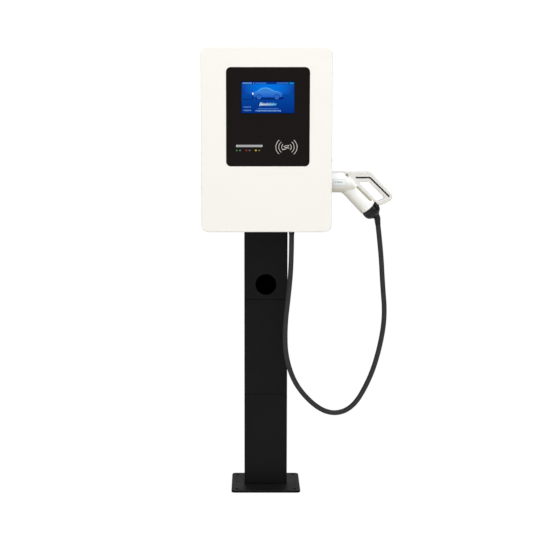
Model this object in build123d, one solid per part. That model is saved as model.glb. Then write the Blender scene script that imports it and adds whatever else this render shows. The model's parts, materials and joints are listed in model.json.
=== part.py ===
from build123d import *

import math
import os

# EV charging post: a wall-box style DC charger bolted to the front of a free-standing column,
# with one tethered connector docked in its right-hand side.
#
# Frame, millimetres: +X to the right as a driver sees it, -Y towards the driver, +Z up.
# Origin: centre of the anchor-bolt pattern on the underside of the base plate.

# ---- driving dimensions ---------------------------------------------------
SHEET = 2.0                     # folded covers and door skin
CLEAR = 0.4                     # general gap between separate pieces

PLATE_W, PLATE_D, PLATE_T, PLATE_R = 240.0, 210.0, 8.0, 13.0
ANCHOR_X, ANCHOR_Y, ANCHOR_R = 200.0, 174.0, 6.0
CABLE_ENTRY_R = 27.0            # supply cable hole in the base plate

COLUMN_W, COLUMN_FRONT, COLUMN_BACK = 150.0, -28.0, 32.0
COLUMN_TOP = 1430.0
SPINE_T = 3.0
COVER_RETURN = 25.0             # side return of each front cover
COVER_BOTTOM, SEAM_LOW, SEAM_HIGH, COVER_TOP = 9.0, 333.0, 668.0, 915.0
SEAM_GAP = 1.0
PORT_R, PORT_Z = 36.0, 721.0    # round accessory opening in the upper cover

CABINET_W, CABINET_H, CABINET_BOTTOM = 430.0, 604.0, 918.0
CABINET_TOP = CABINET_BOTTOM + CABINET_H
CABINET_R = 23.0
DOOR_FRONT, DOOR_BACK = -191.0, -156.0
SEAL_LAND = 25.0                # width of the flange that meets the gasket

SHELL_HALF, SHELL_FRONT, SHELL_BACK = 203.0, -151.0, -31.0
SHELL_BOTTOM, SHELL_TOP, SHELL_T = 930.0, 1514.0, 1.5
FLOOR_Z = 960.0                 # gland plate, hidden behind the skirt
BRACKET_T = 5.0

HINGE_X, HINGE_Y = -209.0, -150.0
HINGE_R, HINGE_PIN_R = 5.0, 2.5
HINGE_HEIGHTS = (1060.0, 1390.0)
RUNNING = 0.05                  # radial clearance of a running fit

PANEL_X, PANEL_Z = 4.0, 1295.5  # centre of the black glass
PANEL_W, PANEL_H, PANEL_R, GLASS_T = 273.0, 321.0, 15.0, 4.0
LCD_W, LCD_H, LCD_Z = 174.0, 104.4, 1358.4      # 8 inch, 5:3 active area
BAR_X, BAR_Z, BAR_W, BAR_H = -57.0, 1201.4, 86.6, 7.0
LED_XS, LED_Z, LED_R = (-98.0, -66.5, -35.4), 1186.8, 2.6
READER_X, READER_Z = 65.0, 1197.6

LOCK_Y, LOCK_Z, LOCK_R = -136.0, 1155.0, 7.0

DOCK_Y, DOCK_Z = -102.0, 1080.0                 # axis of the connector and its dock
BARREL_R = 35.5
GRIP_ANGLE = 46.4                               # grip's slope below horizontal
GRIP_END = (140.5, -84.9)                       # end of the grip's axis, from the dock's mouth
GRIP_LEN = 120.0
GRIP_A, GRIP_B = 30.3, 26.0                     # half height and half thickness of the grip
GRIP_END_R = 87.7                               # the grip's end is domed to this radius
GRIP_BULGE = 5.4
NUT_LEN, NUT_R, SLEEVE_R = 42.0, 29.0, 10.0
HANDLE_T = 28.0                                 # thickness of the guard loop

CABLE_D = 17.0
GLAND_X, GLAND_Y = 86.0, -102.0
CABLE_EXIT_Z = 914.0

# Route of the charging cable, from the cabinet's gland to the connector's sleeve: X, Y, Z.
CABLE_ROUTE = [
    (86, -102, 914), (86, -102, 806), (77, -103, 698), (64, -105, 588), (67, -108, 475),
    (108, -111, 368), (204, -114, 281), (294, -114, 296), (356, -112, 404), (389, -109, 513),
    (406, -106, 623), (396, -104, 733), (389, -103, 846), (376, -102, 951),
]


# ---- helpers ----------------------------------------------------------------
def block(x0, x1, y0, y1, z0, z1):
    """Box between two corners."""
    return Pos((x0 + x1) / 2, (y0 + y1) / 2, (z0 + z1) / 2) * Box(x1 - x0, y1 - y0, z1 - z0)


def rod(radius, axis, x, y, z, length):
    """Cylinder that starts at a point and runs along +X, +Y or +Z."""
    turn = {"x": Rot(0, 90, 0), "y": Rot(-90, 0, 0), "z": Rot(0, 0, 0)}[axis]
    upright = Cylinder(radius, length, align=(Align.CENTER, Align.CENTER, Align.MIN))
    return Pos(x, y, z) * turn * upright


def facing(sketch, x, z, y0, y1):
    """Sketch drawn as seen from the front, centred on X, Z and filling y0 to y1."""
    return Pos(x, y1, z) * extrude(Plane.XZ * sketch, amount=y1 - y0)


def frame(x0, x1, z0, z1, width, y0, y1):
    """Rectangular ring seen from the front."""
    outer = block(x0, x1, y0, y1, z0, z1)
    return outer - block(x0 + width, x1 - width, y0 - 1, y1 + 1, z0 + width, z1 - width)


def tube_path(points, share=0.45):
    """Straight runs joined by the largest tangent arcs that their lengths allow."""
    corners = [Vector(*p) for p in points]
    radii = []
    for before, corner, after in zip(corners, corners[1:], corners[2:]):
        run_in, run_out = corner - before, after - corner
        half = math.radians(run_in.get_angle(run_out)) / 2
        radii.append(share * min(run_in.length, run_out.length) / math.tan(half))
    return FilletPolyline(*[tuple(p) for p in points], radius=radii), radii


# ---- pedestal ---------------------------------------------------------------
def base_plate():
    plate = extrude(RectangleRounded(PLATE_W, PLATE_D, PLATE_R), amount=PLATE_T)
    holes = GridLocations(ANCHOR_X, ANCHOR_Y, 2, 2) * Cylinder(ANCHOR_R, 4 * PLATE_T)
    entry = Cylinder(CABLE_ENTRY_R, 4 * PLATE_T)
    plate = plate - holes - entry
    return chamfer(plate.faces().sort_by(Axis.Z)[-1].outer_wire().edges(), 0.8)


def column_spine():
    """Folded rear channel of the column, open towards the driver."""
    half = COLUMN_W / 2 - SHEET
    front = COLUMN_FRONT + SHEET
    outer = block(-half, half, front, COLUMN_BACK, PLATE_T, COLUMN_TOP)
    back_edges = outer.edges().filter_by(Axis.Z).sort_by(Axis.Y)[-2:]
    outer = fillet(back_edges, 5.0)
    inner = block(-half + SPINE_T, half - SPINE_T, front - 1, COLUMN_BACK - SPINE_T,
                  PLATE_T - 1, COLUMN_TOP + 1)
    spine = outer - inner
    for x, z in cover_screw_places():
        spine -= rod(SCREW_R + 0.1, "x", min(x, 0) - 1, SCREW_Y, z, abs(x) + 2)
    return spine


SCREW_R, SCREW_HEAD_R, SCREW_LEN, SCREW_Y = 2.5, 4.6, 12.0, -13.0


def cover_spans():
    """Bottom and top of the lower, middle and upper cover."""
    gap = SEAM_GAP / 2
    return [(COVER_BOTTOM, SEAM_LOW - gap), (SEAM_LOW + gap, SEAM_HIGH - gap),
            (SEAM_HIGH + gap, COVER_TOP)]


def cover_screw_places():
    """X of the side face and Z of every cover screw: two on each side of each cover."""
    inset = 45.0
    return [(side * COLUMN_W / 2, z) for low, high in cover_spans()
            for z in (low + inset, high - inset) for side in (-1, 1)]


def column_cover(low, high):
    """Front cover with side returns that clip over the spine."""
    half = COLUMN_W / 2
    outer = block(-half, half, COLUMN_FRONT, COLUMN_FRONT + COVER_RETURN, low, high)
    outer = fillet(outer.edges().filter_by(Axis.Z).sort_by(Axis.Y)[:2], 3.5)
    cover = outer - block(-half + SHEET, half - SHEET, COLUMN_FRONT + SHEET,
                          COLUMN_FRONT + COVER_RETURN + 1, low - 1, high + 1)
    for x, z in cover_screw_places():
        if low < z < high:
            side = math.copysign(1, x)
            cover -= Pos(x - side * SHEET / 2, SCREW_Y, z) * Rot(0, 90 * side, 0) * Cone(
                SCREW_R + 0.1, SCREW_HEAD_R + 0.1, SHEET)
    return cover


def column_cover_upper():
    cover = column_cover(*cover_spans()[2])
    return cover - rod(PORT_R, "y", 0, COLUMN_FRONT - 5, PORT_Z, 15)


def cover_screws():
    """Countersunk screws that hold the three covers to the spine."""
    screws = []
    for x, z in cover_screw_places():
        side = math.copysign(1, x)
        shank = rod(SCREW_R, "z", 0, 0, -SCREW_LEN, SCREW_LEN)
        head_cone = Pos(0, 0, -SHEET / 2) * Cone(SCREW_R, SCREW_HEAD_R, SHEET)
        drive = Pos(0, 0, -0.5) * extrude(RegularPolygon(1.6, 6), amount=1)
        screws.append(Pos(x, SCREW_Y, z) * Rot(0, 90 * side, 0) * (shank + head_cone - drive))
    return screws


def column_cap():
    half = COLUMN_W / 2 - SHEET
    cap = block(-half, half, SHELL_BACK, COLUMN_BACK, COLUMN_TOP, COLUMN_TOP + 4)
    cap = fillet(cap.edges().filter_by(Axis.Z).sort_by(Axis.Y)[-2:], 5.0)
    plug = block(-half + SPINE_T + CLEAR, half - SPINE_T - CLEAR, COLUMN_FRONT + SHEET + CLEAR,
                 COLUMN_BACK - SPINE_T - CLEAR, COLUMN_TOP - 12, COLUMN_TOP)
    return cap + plug


BRACKET_BOTTOM, BRACKET_TOP = 920.0, COLUMN_TOP
BOLT_XS, BOLT_ZS, BOLT_R = (-55.0, 55.0), (975.0, 1180.0, 1400.0), 4.0
SUPPLY_Z, SUPPLY_R = 1040.0, 25.0


def cabinet_bracket():
    """Flat bracket that closes the spine behind the cabinet and carries it."""
    half = COLUMN_W / 2 - SHEET
    plate = block(-half, half, SHELL_BACK, SHELL_BACK + BRACKET_T, BRACKET_BOTTOM, BRACKET_TOP)
    for x in BOLT_XS:
        for z in BOLT_ZS:
            plate -= rod(BOLT_R, "y", x, SHELL_BACK - 5, z, 20)
    return plate - rod(SUPPLY_R + 1, "y", 0, SHELL_BACK - 5, SUPPLY_Z, 20)


def bracket_bolts():
    """Hexagon bolts with washers, through the cabinet's back into the bracket."""
    bolts = []
    inner = SHELL_BACK - SHELL_T
    for x in BOLT_XS:
        for z in BOLT_ZS:
            shank = rod(BOLT_R, "y", x, inner, z, 14)
            washer = rod(8.0, "y", x, inner - 1.6, z, 1.6)
            hexagon = facing(RegularPolygon(7.5, 6), x, z, inner - 6.6, inner - 1.6)
            bolts.append(shank + washer + hexagon)
    return bolts


# ---- cabinet shell ------------------------------------------------------------
FAN_Y, FAN_ZS, FAN_SIZE, FAN_DEPTH, FAN_BORE = -92.0, (1300.0, 1390.0), 80.0, 25.0, 38.0
VENT_W, VENT_H = 84.0, 176.0
EXHAUST_Z, INTAKE_Z = 1345.0, 1210.0
GASKET_T, GASKET_IN = 5.0, 190.0
FRONT_SILL, FRONT_HEAD = 975.0, 1500.0          # shell's front opening
HOLSTER_R, HOLSTER_BORE, HOLSTER_DEPTH, HOLSTER_FLANGE = 39.0, 36.2, 68.0, 46.5
GLAND_R = 12.5


def cabinet_shell():
    """Folded sheet box, open at the front and underneath."""
    outer = block(-SHELL_HALF, SHELL_HALF, SHELL_FRONT, SHELL_BACK, SHELL_BOTTOM, SHELL_TOP)
    outer = fillet(outer.edges().filter_by(Axis.Y).sort_by(Axis.Z)[-2:], 12.0)
    t = SHELL_T
    cavity = block(-SHELL_HALF + t, SHELL_HALF - t, SHELL_FRONT + t, SHELL_BACK - t,
                   SHELL_BOTTOM - 1, SHELL_TOP - t)
    cavity = fillet(cavity.edges().filter_by(Axis.Y).sort_by(Axis.Z)[-2:], 12.0 - t)
    shell = outer - cavity
    mouth = GASKET_IN - 1
    shell -= block(-mouth, mouth, SHELL_FRONT - 5, SHELL_FRONT + 5, FRONT_SILL, FRONT_HEAD)
    for z in FAN_ZS:
        shell -= rod(FAN_BORE, "x", SHELL_HALF - 10, FAN_Y, z, 20)
    shell -= block(-SHELL_HALF - 5, -SHELL_HALF + 5, FAN_Y - VENT_W / 2 + 4, FAN_Y + VENT_W / 2 - 4,
                   INTAKE_Z - VENT_H / 2 + 4, INTAKE_Z + VENT_H / 2 - 4)
    shell -= rod(HOLSTER_R + 0.2, "x", SHELL_HALF - 10, DOCK_Y, DOCK_Z, 20)
    shell -= rod(LOCK_R + 2.4, "x", SHELL_HALF - 10, LOCK_Y, LOCK_Z, 20)
    for x in BOLT_XS:
        for z in BOLT_ZS:
            shell -= rod(BOLT_R, "y", x, SHELL_BACK - 10, z, 20)
    return shell - rod(SUPPLY_R, "y", 0, SHELL_BACK - 10, SUPPLY_Z, 20)


def gland_plate():
    """Recessed floor of the cabinet, behind the skirt that the shell and door leave."""
    t = SHELL_T
    plate = block(-SHELL_HALF + t, SHELL_HALF - t, SHELL_FRONT + t, SHELL_BACK - t,
                  FLOOR_Z, FLOOR_Z + SHEET)
    return plate - rod(GLAND_R, "z", GLAND_X, GLAND_Y, FLOOR_Z - 5, 15)


def door_gasket():
    """Foam strip on the shell's front flange."""
    return frame(-SHELL_HALF + 1, SHELL_HALF - 1, FRONT_SILL - 12, FRONT_HEAD + 12, 12.0,
                 DOOR_BACK, SHELL_FRONT)


def supply_grommet():
    """Rubber grommet that edges the supply cable's way through the back panel."""
    back = SHELL_BACK - SHELL_T
    collar = rod(SUPPLY_R + 5, "y", 0, back - 2.5, SUPPLY_Z, 2.5)
    neck = rod(SUPPLY_R, "y", 0, back - 2.5, SUPPLY_Z, 2.5 + SHELL_T + BRACKET_T)
    bore = rod(SUPPLY_R - 4, "y", 0, back - 10, SUPPLY_Z, 30)
    return collar + neck - bore


def hinge_barrel(z0, z1):
    return rod(HINGE_R, "z", HINGE_X, HINGE_Y, z0, z1 - z0)


HINGE_LEN, KNUCKLE = 60.0, 19.6                 # three knuckles with play between them


def hinge_leaves_cabinet():
    leaves = []
    for mid in HINGE_HEIGHTS:
        low, high = mid - HINGE_LEN / 2, mid + HINGE_LEN / 2
        leaf = block(-SHELL_HALF - SHEET, -SHELL_HALF, HINGE_Y, HINGE_Y + 25, low, high)
        for z0, z1 in ((low, low + KNUCKLE), (high - KNUCKLE, high)):
            web = block(HINGE_X, -SHELL_HALF, HINGE_Y, HINGE_Y + 4.5, z0, z1)
            leaf = leaf + web + hinge_barrel(z0, z1)
        leaf -= rod(HINGE_R + CLEAR, "z", HINGE_X, HINGE_Y, low + KNUCKLE, HINGE_LEN - 2 * KNUCKLE)
        leaves.append(leaf - rod(HINGE_PIN_R, "z", HINGE_X, HINGE_Y, low - 1, HINGE_LEN + 2))
    return leaves


def hinge_pins():
    return [rod(HINGE_PIN_R, "z", HINGE_X, HINGE_Y, mid - HINGE_LEN / 2 - 1, HINGE_LEN + 2)
            + rod(HINGE_R - 0.5, "z", HINGE_X, HINGE_Y, mid + HINGE_LEN / 2, 2)
            for mid in HINGE_HEIGHTS]


def grille(side, mid_z):
    """Louvred cover over a vent, on the outside of one side wall."""
    x0 = SHELL_HALF if side > 0 else -SHELL_HALF - 3
    plate = block(x0, x0 + 3, FAN_Y - VENT_W / 2 - 6, FAN_Y + VENT_W / 2 + 6,
                  mid_z - VENT_H / 2 - 6, mid_z + VENT_H / 2 + 6)
    plate = fillet(plate.edges().filter_by(Axis.X), 5.0)
    slots = int(VENT_H // 14)
    pitch = VENT_H / slots
    for i in range(slots):
        z = mid_z - VENT_H / 2 + (i + 0.5) * pitch
        plate -= block(x0 - 1, x0 + 4, FAN_Y - VENT_W / 2 + 3, FAN_Y + VENT_W / 2 - 3, z - 3, z + 3)
        hood = rod(5.5, "y", x0 + (3 if side > 0 else 0), FAN_Y - VENT_W / 2 + 3, z + 1.5, VENT_W - 6)
        hood -= rod(4.3, "y", x0 + (3 if side > 0 else 0), FAN_Y - VENT_W / 2 + 3, z + 1.5, VENT_W - 6)
        keep = block(x0 + 3, x0 + 12, -300, 100, z, z + 10) if side > 0 else \
            block(x0 - 9, x0, -300, 100, z, z + 10)
        plate += hood & keep
    return plate


# ---- equipment inside ----------------------------------------------------------
PANEL_Y = -42.0                                 # front face of the mounting panel


def mounting_panel():
    plate = block(-185, 165, PANEL_Y, PANEL_Y + SHEET, 975, 1500)
    for x in BOLT_XS:
        for z in BOLT_ZS:
            plate -= rod(11.0, "y", x, PANEL_Y - 5, z, 20)
    plate -= rod(SUPPLY_R + 8, "y", 0, PANEL_Y - 5, SUPPLY_Z, 20)
    spacers = [rod(5.0, "y", x, PANEL_Y + SHEET, z, SHELL_BACK - SHELL_T - PANEL_Y - SHEET)
               for x in (-175, 155) for z in (990, 1485)]
    return plate + spacers


def power_module():
    """Rectifier module: a closed case with a slotted face and two pull handles."""
    x0, x1, z0, z1, y0 = -176.0, 40.0, 1150.0, 1490.0, -122.0
    case = block(x0, x1, y0, PANEL_Y, z0, z1)
    case = chamfer(case.edges().filter_by(Axis.Y), 2.0)
    for i in range(14):
        z = z0 + 50 + i * 17.5
        case -= block(x0 + 40, x1 - 40, y0 - 1, y0 + 4, z, z + 7)
    for x in (x0 + 20, x1 - 20):
        grip = block(x - 4, x + 4, y0 - 14, y0, (z0 + z1) / 2 - 45, (z0 + z1) / 2 + 45)
        case += grip - block(x - 5, x + 5, y0 - 8, y0 + 1, (z0 + z1) / 2 - 37, (z0 + z1) / 2 + 37)
    return case


BOARD_X, BOARD_Z, BOARD_W, BOARD_H, BOARD_Y = 107.0, 1390.0, 104.0, 190.0, -58.0


def control_board():
    """Charge controller: board with relays, connectors, capacitors and a processor."""
    x0, x1, y = BOARD_X - BOARD_W / 2, BOARD_X + BOARD_W / 2, BOARD_Y
    z0, z1 = BOARD_Z - BOARD_H / 2, BOARD_Z + BOARD_H / 2
    board = block(x0, x1, y - 1.6, y, z0, z1)
    for i in range(4):
        board += block(x0 + 6, x0 + 22, y - 17, y - 1.6, z0 + 12 + i * 26, z0 + 34 + i * 26)
    for i in range(3):
        board += block(x1 - 14, x1 - 3, y - 11, y - 1.6, z0 + 15 + i * 55, z0 + 60 + i * 55)
    for i in range(3):
        board += rod(6.0, "y", x0 + 38 + i * 15, y - 22, z1 - 16, 20.4)
    board += block(x0 + 36, x0 + 60, y - 4, y - 1.6, z0 + 90, z0 + 114)
    board += block(x0 + 34, x0 + 74, y - 9, y - 1.6, z0 + 20, z0 + 50)
    for x in (x0 + 4, x1 - 4):
        for z in (z0 + 4, z1 - 4):
            board -= rod(1.6, "y", x, y - 10, z, 20)
    return board


def board_standoffs():
    posts = []
    for dx in (-1, 1):
        for dz in (-1, 1):
            x = BOARD_X + dx * (BOARD_W / 2 - 4)
            z = BOARD_Z + dz * (BOARD_H / 2 - 4)
            post = rod(3.0, "y", x, BOARD_Y, z, PANEL_Y - BOARD_Y)
            screw = rod(1.5, "y", x, BOARD_Y - 1.6, z, 1.6) + rod(2.8, "y", x, BOARD_Y - 3.6, z, 2)
            posts.append(post + screw)
    return posts


def aux_power_supply():
    case = block(56, 160, -84, PANEL_Y, 1168, 1280)
    for i in range(7):
        for j in range(7):
            case -= rod(3.0, "y", 70 + i * 13, -85, 1185 + j * 13, 3)
    return case + block(64, 152, -92, -84, 1170, 1178)


RAIL_Z = 1010.0


def din_rail():
    rail = block(-182, 62, PANEL_Y - 1, PANEL_Y, RAIL_Z - 17.5, RAIL_Z + 17.5)
    for side in (-1, 1):
        rail += block(-182, 62, PANEL_Y - 7, PANEL_Y - 1, RAIL_Z + side * 13.5 - 0.5,
                      RAIL_Z + side * 13.5 + 0.5)
        rail += block(-182, 62, PANEL_Y - 7.5, PANEL_Y - 6.5, *sorted(
            (RAIL_Z + side * 13.0, RAIL_Z + side * 17.5)))
    return rail


BREAKER_X0, BREAKER_X1, TOGGLE_Y, TOGGLE_R = -178.0, -106.0, -115.0, 7.0
DEVICE_BACK = PANEL_Y - 8.0                     # rail devices sit on the rail's lips


def main_breaker():
    """Four-pole incoming breaker; its toggle is a separate piece."""
    body = block(BREAKER_X0, BREAKER_X1, -104, DEVICE_BACK, RAIL_Z - 42, RAIL_Z + 42)
    nose = block(BREAKER_X0, BREAKER_X1, -116, -104, RAIL_Z - 22, RAIL_Z + 22)
    body += nose
    body -= block(BREAKER_X0 + 8, BREAKER_X1 - 8, -130, TOGGLE_Y + TOGGLE_R + 1,
                  RAIL_Z - 15, RAIL_Z + 15)
    body -= rod(2.5 + RUNNING, "x", BREAKER_X0 + 4, TOGGLE_Y, RAIL_Z, BREAKER_X1 - BREAKER_X0 - 8)
    for i in range(1, 4):
        x = BREAKER_X0 + i * 18
        body -= block(x - 0.3, x + 0.3, -105, -100, RAIL_Z - 43, RAIL_Z + 43)
    for i in range(4):
        for z in (RAIL_Z - 33, RAIL_Z + 33):
            body -= rod(3.5, "y", BREAKER_X0 + 9 + i * 18, -105, z, 8)
    return body


def breaker_toggle():
    """Linked handle of the four poles, stored switched on."""
    length = BREAKER_X1 - BREAKER_X0 - 18
    hub = rod(TOGGLE_R, "x", BREAKER_X0 + 9, TOGGLE_Y, RAIL_Z, length)
    shaft = rod(2.5, "x", BREAKER_X0 + 5, TOGGLE_Y, RAIL_Z, length + 8)
    lever = block(BREAKER_X0 + 9, BREAKER_X0 + 9 + length, -20, 0, -2.5, 2.5)
    lever = fillet(lever.edges().filter_by(Axis.X).sort_by(Axis.Y)[:2], 2.0)
    return hub + shaft + Pos(0, TOGGLE_Y, RAIL_Z) * Rot(-35, 0, 0) * lever


def energy_meter():
    x0, x1 = -98.0, -26.0
    body = block(x0, x1, -98, DEVICE_BACK, RAIL_Z - 45, RAIL_Z + 45)
    body += block(x0 + 4, x1 - 4, -108, -98, RAIL_Z - 24, RAIL_Z + 26)
    body -= block(x0 + 16, x1 - 16, -109, -106, RAIL_Z, RAIL_Z + 18)
    for i in range(5):
        body -= rod(3.0, "y", x0 + 10 + i * 13, -99, RAIL_Z - 36, 8)
    return body


def terminal_block():
    """Five feed-through terminals for the supply."""
    row = block(-18, 52, -90, DEVICE_BACK, RAIL_Z - 30, RAIL_Z + 30)
    for i in range(5):
        x = -11 + i * 14
        for z in (RAIL_Z - 18, RAIL_Z + 18):
            row -= rod(4.0, "y", x, -91, z, 10)
        if i:
            row -= block(x - 7.3, x - 6.7, -91, -84, RAIL_Z - 31, RAIL_Z + 31)
    return row


def dc_contactors():
    """Positive and negative output contactors."""
    units = []
    for x in (-172.0, -88.0):
        unit = block(x, x + 62, -100, PANEL_Y, 1072, 1136)
        unit = fillet(unit.edges().filter_by(Axis.Y), 4.0)
        for dx in (18, 44):
            unit += rod(7.0, "y", x + dx, -112, 1104, 12) + rod(4.0, "y", x + dx, -120, 1104, 8)
        units.append(unit)
    return units


def earth_bar():
    bar = block(70, 150, -64, -58, 984, 996)
    bar += block(72, 80, -58, PANEL_Y, 984, 996) + block(140, 148, -58, PANEL_Y, 984, 996)
    for i in range(5):
        bar += rod(4.0, "y", 90 + i * 10, -68, 990, 4)
    return bar


def fan_frames():
    frames = []
    x0, x1 = SHELL_HALF - SHELL_T - FAN_DEPTH, SHELL_HALF - SHELL_T
    half = FAN_SIZE / 2
    for z in FAN_ZS:
        body = block(x0, x1, FAN_Y - half, FAN_Y + half, z - half, z + half)
        body = fillet(body.edges().filter_by(Axis.X), 5.0)
        body -= rod(FAN_BORE, "x", x0 - 1, FAN_Y, z, FAN_DEPTH + 2)
        body += rod(18.0, "x", x0, FAN_Y, z, 10)
        for turn in (45, 135):
            arm = Pos(x0 + 1.5, FAN_Y, z) * Rot(turn, 0, 0) * Box(3, 4, 2 * FAN_BORE + 2)
            body += arm
        body -= rod(1.5 + RUNNING, "x", x0 + 2, FAN_Y, z, 20)
        frames.append(body)
    return frames


def fan_rotor(z):
    x0 = SHELL_HALF - SHELL_T - FAN_DEPTH
    rotor = rod(17.0, "x", x0 + 11, FAN_Y, z, 12) + rod(1.5, "x", x0 + 3, FAN_Y, z, 9)
    blade = Pos(x0 + 17, 0, 25.5) * Rot(0, 0, 35) * Box(1.6, 16, 20)
    for i in range(7):
        rotor += Pos(0, FAN_Y, z) * Rot(360 / 7 * i, 0, 0) * blade
    return rotor


# ---- dock, gland and lock --------------------------------------------------------
def connector_holster():
    """Cup that holds the connector, fitted from inside the cabinet."""
    mouth = SHELL_HALF + SHEET
    cup = rod(HOLSTER_R, "x", mouth - HOLSTER_DEPTH - 5, DOCK_Y, DOCK_Z, HOLSTER_DEPTH + 5)
    cup += rod(HOLSTER_FLANGE, "x", SHELL_HALF - SHELL_T - 3, DOCK_Y, DOCK_Z, 3)
    cup -= rod(HOLSTER_BORE, "x", mouth - HOLSTER_DEPTH, DOCK_Y, DOCK_Z, HOLSTER_DEPTH + 1)
    for y, z in holster_screw_places():
        cup -= rod(2.0, "x", SHELL_HALF - 10, y, z, 12)
    return cup


def holster_screw_places():
    reach = (HOLSTER_FLANGE + HOLSTER_R) / 2
    return [(DOCK_Y + reach * math.cos(math.radians(a)), DOCK_Z + reach * math.sin(math.radians(a)))
            for a in (45, 135, 225, 315)]


def holster_screws():
    inner = SHELL_HALF - SHELL_T - 3
    return [rod(2.0, "x", inner, y, z, 3) + rod(3.6, "x", inner - 2.5, y, z, 2.5)
            for y, z in holster_screw_places()]


def output_gland_body():
    neck = rod(GLAND_R, "z", GLAND_X, GLAND_Y, FLOOR_Z - 8, 20)
    collar = Pos(GLAND_X, GLAND_Y, FLOOR_Z - 8) * extrude(RegularPolygon(17, 6), amount=8)
    return neck + collar - rod(CABLE_D / 2, "z", GLAND_X, GLAND_Y, FLOOR_Z - 20, 50)


def output_gland_nut():
    """Clamping nut and its rubber lip; the cable's own solid starts below it."""
    profile = Pos(GLAND_X, GLAND_Y, FLOOR_Z - 30) * extrude(RegularPolygon(16, 6), amount=22)
    lip = Pos(GLAND_X, GLAND_Y, (FLOOR_Z - 30 + CABLE_EXIT_Z) / 2) * Cone(
        10.0, 13.5, FLOOR_Z - 30 - CABLE_EXIT_Z)
    return profile + lip


def output_locknut():
    ring = Pos(GLAND_X, GLAND_Y, FLOOR_Z + SHEET) * extrude(RegularPolygon(17, 6), amount=5)
    return ring - rod(GLAND_R, "z", GLAND_X, GLAND_Y, FLOOR_Z, 20)


def lock_housing():
    """Threaded barrel of the cam lock, its bezel and its back nut."""
    barrel = rod(LOCK_R + 2.4, "x", SHELL_HALF - 17, LOCK_Y, LOCK_Z, 17)
    bezel = rod(LOCK_R + 5, "x", SHELL_HALF, LOCK_Y, LOCK_Z, 11)
    bezel = fillet(bezel.edges().group_by(Axis.X)[-1], 1.5)
    nut = Pos(SHELL_HALF - SHELL_T - 5, LOCK_Y, LOCK_Z) * Rot(0, 90, 0) * extrude(
        RegularPolygon(13.5, 6), amount=5)
    return barrel + bezel + nut - rod(LOCK_R + RUNNING, "x", SHELL_HALF - 30, LOCK_Y, LOCK_Z, 50)


def lock_cylinder():
    """Rotor with the key slot."""
    tip = SHELL_HALF + 16
    rotor = rod(LOCK_R, "x", SHELL_HALF - 18, LOCK_Y, LOCK_Z, tip - SHELL_HALF + 18)
    return rotor - block(tip - 8, tip + 1, LOCK_Y - 1, LOCK_Y + 1, LOCK_Z - 4.5, LOCK_Z + 4.5)


def lock_cam():
    """Cam arm, stored unlocked and pointing at the door; locked, it points down."""
    x0 = SHELL_HALF - 21
    arm = block(x0, x0 + 3, LOCK_Y - 28, LOCK_Y + 6, LOCK_Z - 6, LOCK_Z + 6)
    arm = fillet(arm.edges().filter_by(Axis.X), 4.0)
    return arm + rod(4.0, "x", x0 - 2, LOCK_Y, LOCK_Z, 2)


# ---- door --------------------------------------------------------------------------
def door_panel():
    """Door pressed as a tray, with a return flange that lands on the gasket."""
    mid_z = CABINET_BOTTOM + CABINET_H / 2
    outer = facing(RectangleRounded(CABINET_W, CABINET_H, CABINET_R), 0, mid_z,
                   DOOR_FRONT, DOOR_BACK)
    outer = fillet(outer.faces().sort_by(Axis.Y)[0].edges(), 3.0)
    cavity = facing(RectangleRounded(CABINET_W - 2 * SHEET, CABINET_H - 2 * SHEET,
                                     CABINET_R - SHEET), 0, mid_z,
                    DOOR_FRONT + SHEET, DOOR_BACK - SHEET)
    rear = block(-CABINET_W / 2 + SHEET + SEAL_LAND, CABINET_W / 2 - SHEET - SEAL_LAND,
                 DOOR_BACK - 5, DOOR_BACK + 5, FRONT_SILL - 2, FRONT_HEAD + 2)
    window = facing(RectangleRounded(PANEL_W + 1, PANEL_H + 1, PANEL_R + 0.5), PANEL_X, PANEL_Z,
                    DOOR_FRONT - 5, DOOR_FRONT + 5)
    return outer - cavity - rear - window


def hinge_leaves_door():
    leaves = []
    for mid in HINGE_HEIGHTS:
        z0, z1 = mid - KNUCKLE / 2, mid + KNUCKLE / 2
        tab = block(HINGE_X - 4, HINGE_X + 4, DOOR_BACK, HINGE_Y, z0, z1)
        leaf = tab + hinge_barrel(z0, z1)
        leaves.append(leaf - rod(HINGE_PIN_R + RUNNING, "z", HINGE_X, HINGE_Y, z0 - 1, KNUCKLE + 2))
    return leaves


GLASS_FRONT = DOOR_FRONT - 0.5
GLASS_BACK = GLASS_FRONT + GLASS_T


def display_glass():
    glass = facing(RectangleRounded(PANEL_W, PANEL_H, PANEL_R), PANEL_X, PANEL_Z,
                   GLASS_FRONT, GLASS_BACK)
    glass = chamfer(glass.faces().sort_by(Axis.Y)[0].edges(), 0.4)
    far = (GLASS_FRONT - 5, GLASS_BACK + 5)
    glass -= facing(Rectangle(LCD_W + 0.4, LCD_H + 0.4), PANEL_X, LCD_Z, *far)
    glass -= facing(SlotOverall(BAR_W + 0.4, BAR_H + 0.4), BAR_X, BAR_Z, *far)
    for x in LED_XS:
        glass -= rod(LED_R + 0.1, "y", x, far[0], LED_Z, far[1] - far[0])
    return glass


CARRIER_BACK = GLASS_BACK + 7.5


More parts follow.
